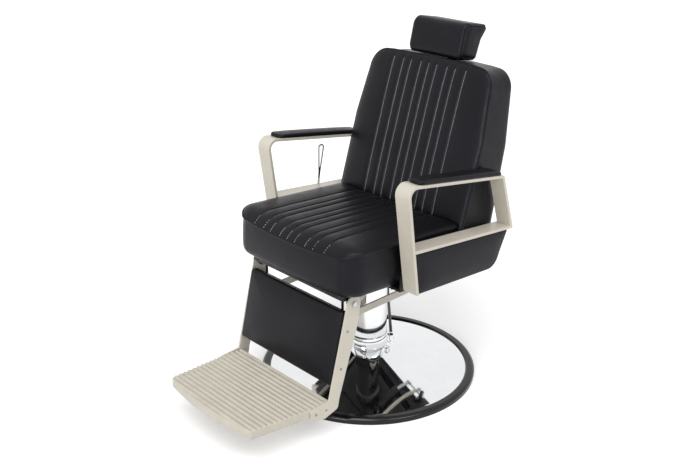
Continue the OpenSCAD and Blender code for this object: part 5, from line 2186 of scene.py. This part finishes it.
    def screws(self) -> None:
        """Button heads with a small recess, one at each screw of the side plates."""
        bm = bmesh.new()
        profile = [(0.0, 4.4), (0.35, 4.55), (0.9, 4.4), (1.6, 3.7), (2.2, 2.6), (2.45, 1.9), (2.4, 1.45),
                   (1.3, 1.35)]
        spindle(bm, profile, Matrix.Scale(MM, 4) @ Matrix.Rotation(math.radians(-90), 4, "Y"), 24)
        head = finish_mesh("screw_head", bm)
        out = self.lay.leg_x + self.lay.leg_t + 0.02
        heads = [(s, y, z) for s in (1, -1) for y, z in self.screw_places()]
        source = wires("screw_places", [np.array([(s * out, y, z)]) * MM for s, y, z in heads])
        axis = source.data.attributes.new("axis", "FLOAT_VECTOR", "POINT")
        axis.data.foreach_set("vector", [c for s, _, _ in heads for c in (float(s), 0.0, 0.0)])
        piece = self.sewing.screws.make("leg_screw_heads", source, self.fitter.palette.screw, head, Size=0.85)
        bpy.data.objects.remove(head, do_unlink=True)
        self.fitter.fit(piece, "legrest", Slot.STEEL, ["leg_screws"])


# ---- scene


@dataclass
class Studio:
    """Camera, floor and plain soft light."""

    eye: Triple = (1.9129, -1.8583, 1.5514)
    aim: Triple = (0.0, -0.0776, 0.4749)
    lens: float = 49.61
    fill: float = 0.55
    floor_half: float = 40.0
    floor_grey: float = 0.87
    floor_glow: float = 0.3
    suns: tuple[tuple[str, float, float, Triple], ...] = (
        ("key", 1.1, 32.0, (-0.25, 0.45, -1.0)),
        ("side", 0.7, 26.0, (-0.64, -0.02, -0.77)),
        ("front", 0.85, 18.0, (-0.3, 0.92, -0.26)),
    )

    def build(self) -> None:
        """Sets up the view, the light and the floor."""
        scene = bpy.context.scene
        scene.view_settings.view_transform = "Standard"
        self.camera(scene)
        self.world(scene)
        self.lamps()
        self.floor()

    def camera(self, scene: bpy.types.Scene) -> None:
        """Places the camera.

        Args:
            scene: the scene that gets it.
        """
        data = bpy.data.cameras.new("view")
        data.lens = self.lens
        data.sensor_width = 36.0
        data.clip_start, data.clip_end = 0.05, 200.0
        camera = placed("view", data)
        camera.location = self.eye
        camera.rotation_euler = (Vector(self.aim) - Vector(self.eye)).to_track_quat("-Z", "Y").to_euler()
        scene.camera = camera

    def world(self, scene: bpy.types.Scene) -> None:
        """White to the camera, to gloss and to glass, and a soft plain fill to the object.

        Args:
            scene: the scene that gets the world.
        """
        world = bpy.data.worlds.new("studio")
        world.use_nodes = True
        tree = world.node_tree
        tree.nodes.clear()
        level = add_node(tree, "ShaderNodeMix", {
            0: background_rays(tree), 2: self.fill, 3: 1.0}, data_type="FLOAT").outputs[0]
        back = add_node(tree, "ShaderNodeBackground", {"Color": WHITE, "Strength": level})
        add_node(tree, "ShaderNodeOutputWorld", {"Surface": back.outputs[0]})
        scene.world = world

    def lamps(self) -> None:
        """A soft key from above, with a weaker light in front and at the side."""
        for name, strength, angle, way in self.suns:
            data = bpy.data.lights.new(name, "SUN")
            data.energy = strength
            data.angle = math.radians(angle)
            placed(name, data).rotation_euler = Vector(way).to_track_quat("-Z", "Y").to_euler()

    def floor(self) -> None:
        """A wide pale floor that is white to the camera and keeps the chair's shadow."""
        half, grey = self.floor_half, self.floor_grey
        corners = [(-half, -half, 0), (half, -half, 0), (half, half, 0), (-half, half, 0)]
        mesh = bpy.data.meshes.new("floor")
        mesh.from_pydata(corners, [], [(0, 1, 2, 3)])
        skin = Surface("pale_floor", Base_Color=(grey, grey, grey, 1.0), Roughness=0.9,
                       Specular_IOR_Level=0.0, Emission_Color=WHITE)
        glow = skin.add("ShaderNodeMath", {
            0: background_rays(skin.tree), 1: self.floor_glow}, operation="MULTIPLY").outputs[0]
        skin.link(glow, "Emission Strength")
        mesh.materials.append(skin.material)
        placed("floor", mesh)


def dress_solids(palette: Palette) -> None:
    """Gives every solid that stays in view the finish of its slot.

    Args:
        palette: the chair's finishes.
    """
    for name, node in FRAME["nodes"].items():
        node.data.materials.clear()
        node.data.materials.append(palette.slots[SLOT_OF[name]])


def main() -> None:
    """Builds the chair's classes in order."""
    logging.basicConfig(level=logging.INFO, format="%(message)s")
    FRAME.update(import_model())
    record = FRAME["record"]
    for body, nodes in record["behaviour"]["bodies"].items():
        for node in nodes:
            BODY_OF[node] = body
    for part in record["subparts"]:
        SLOT_OF[part["node"]] = Slot(part["material_slot"])
    palette = Palette()
    fitter = Fitter(palette)
    sewing = SewingRoom()
    Studio().build()
    Base(fitter).build()
    Frames(fitter).build()
    Legrest(fitter, sewing).build()
    Upholstery(fitter, sewing).build()
    for node, edge in FINE.items():
        fitter.refine(node, edge)
    dress_solids(palette)
    log.info("%d pieces", fitter.count)


if __name__ == "__main__":
    main()
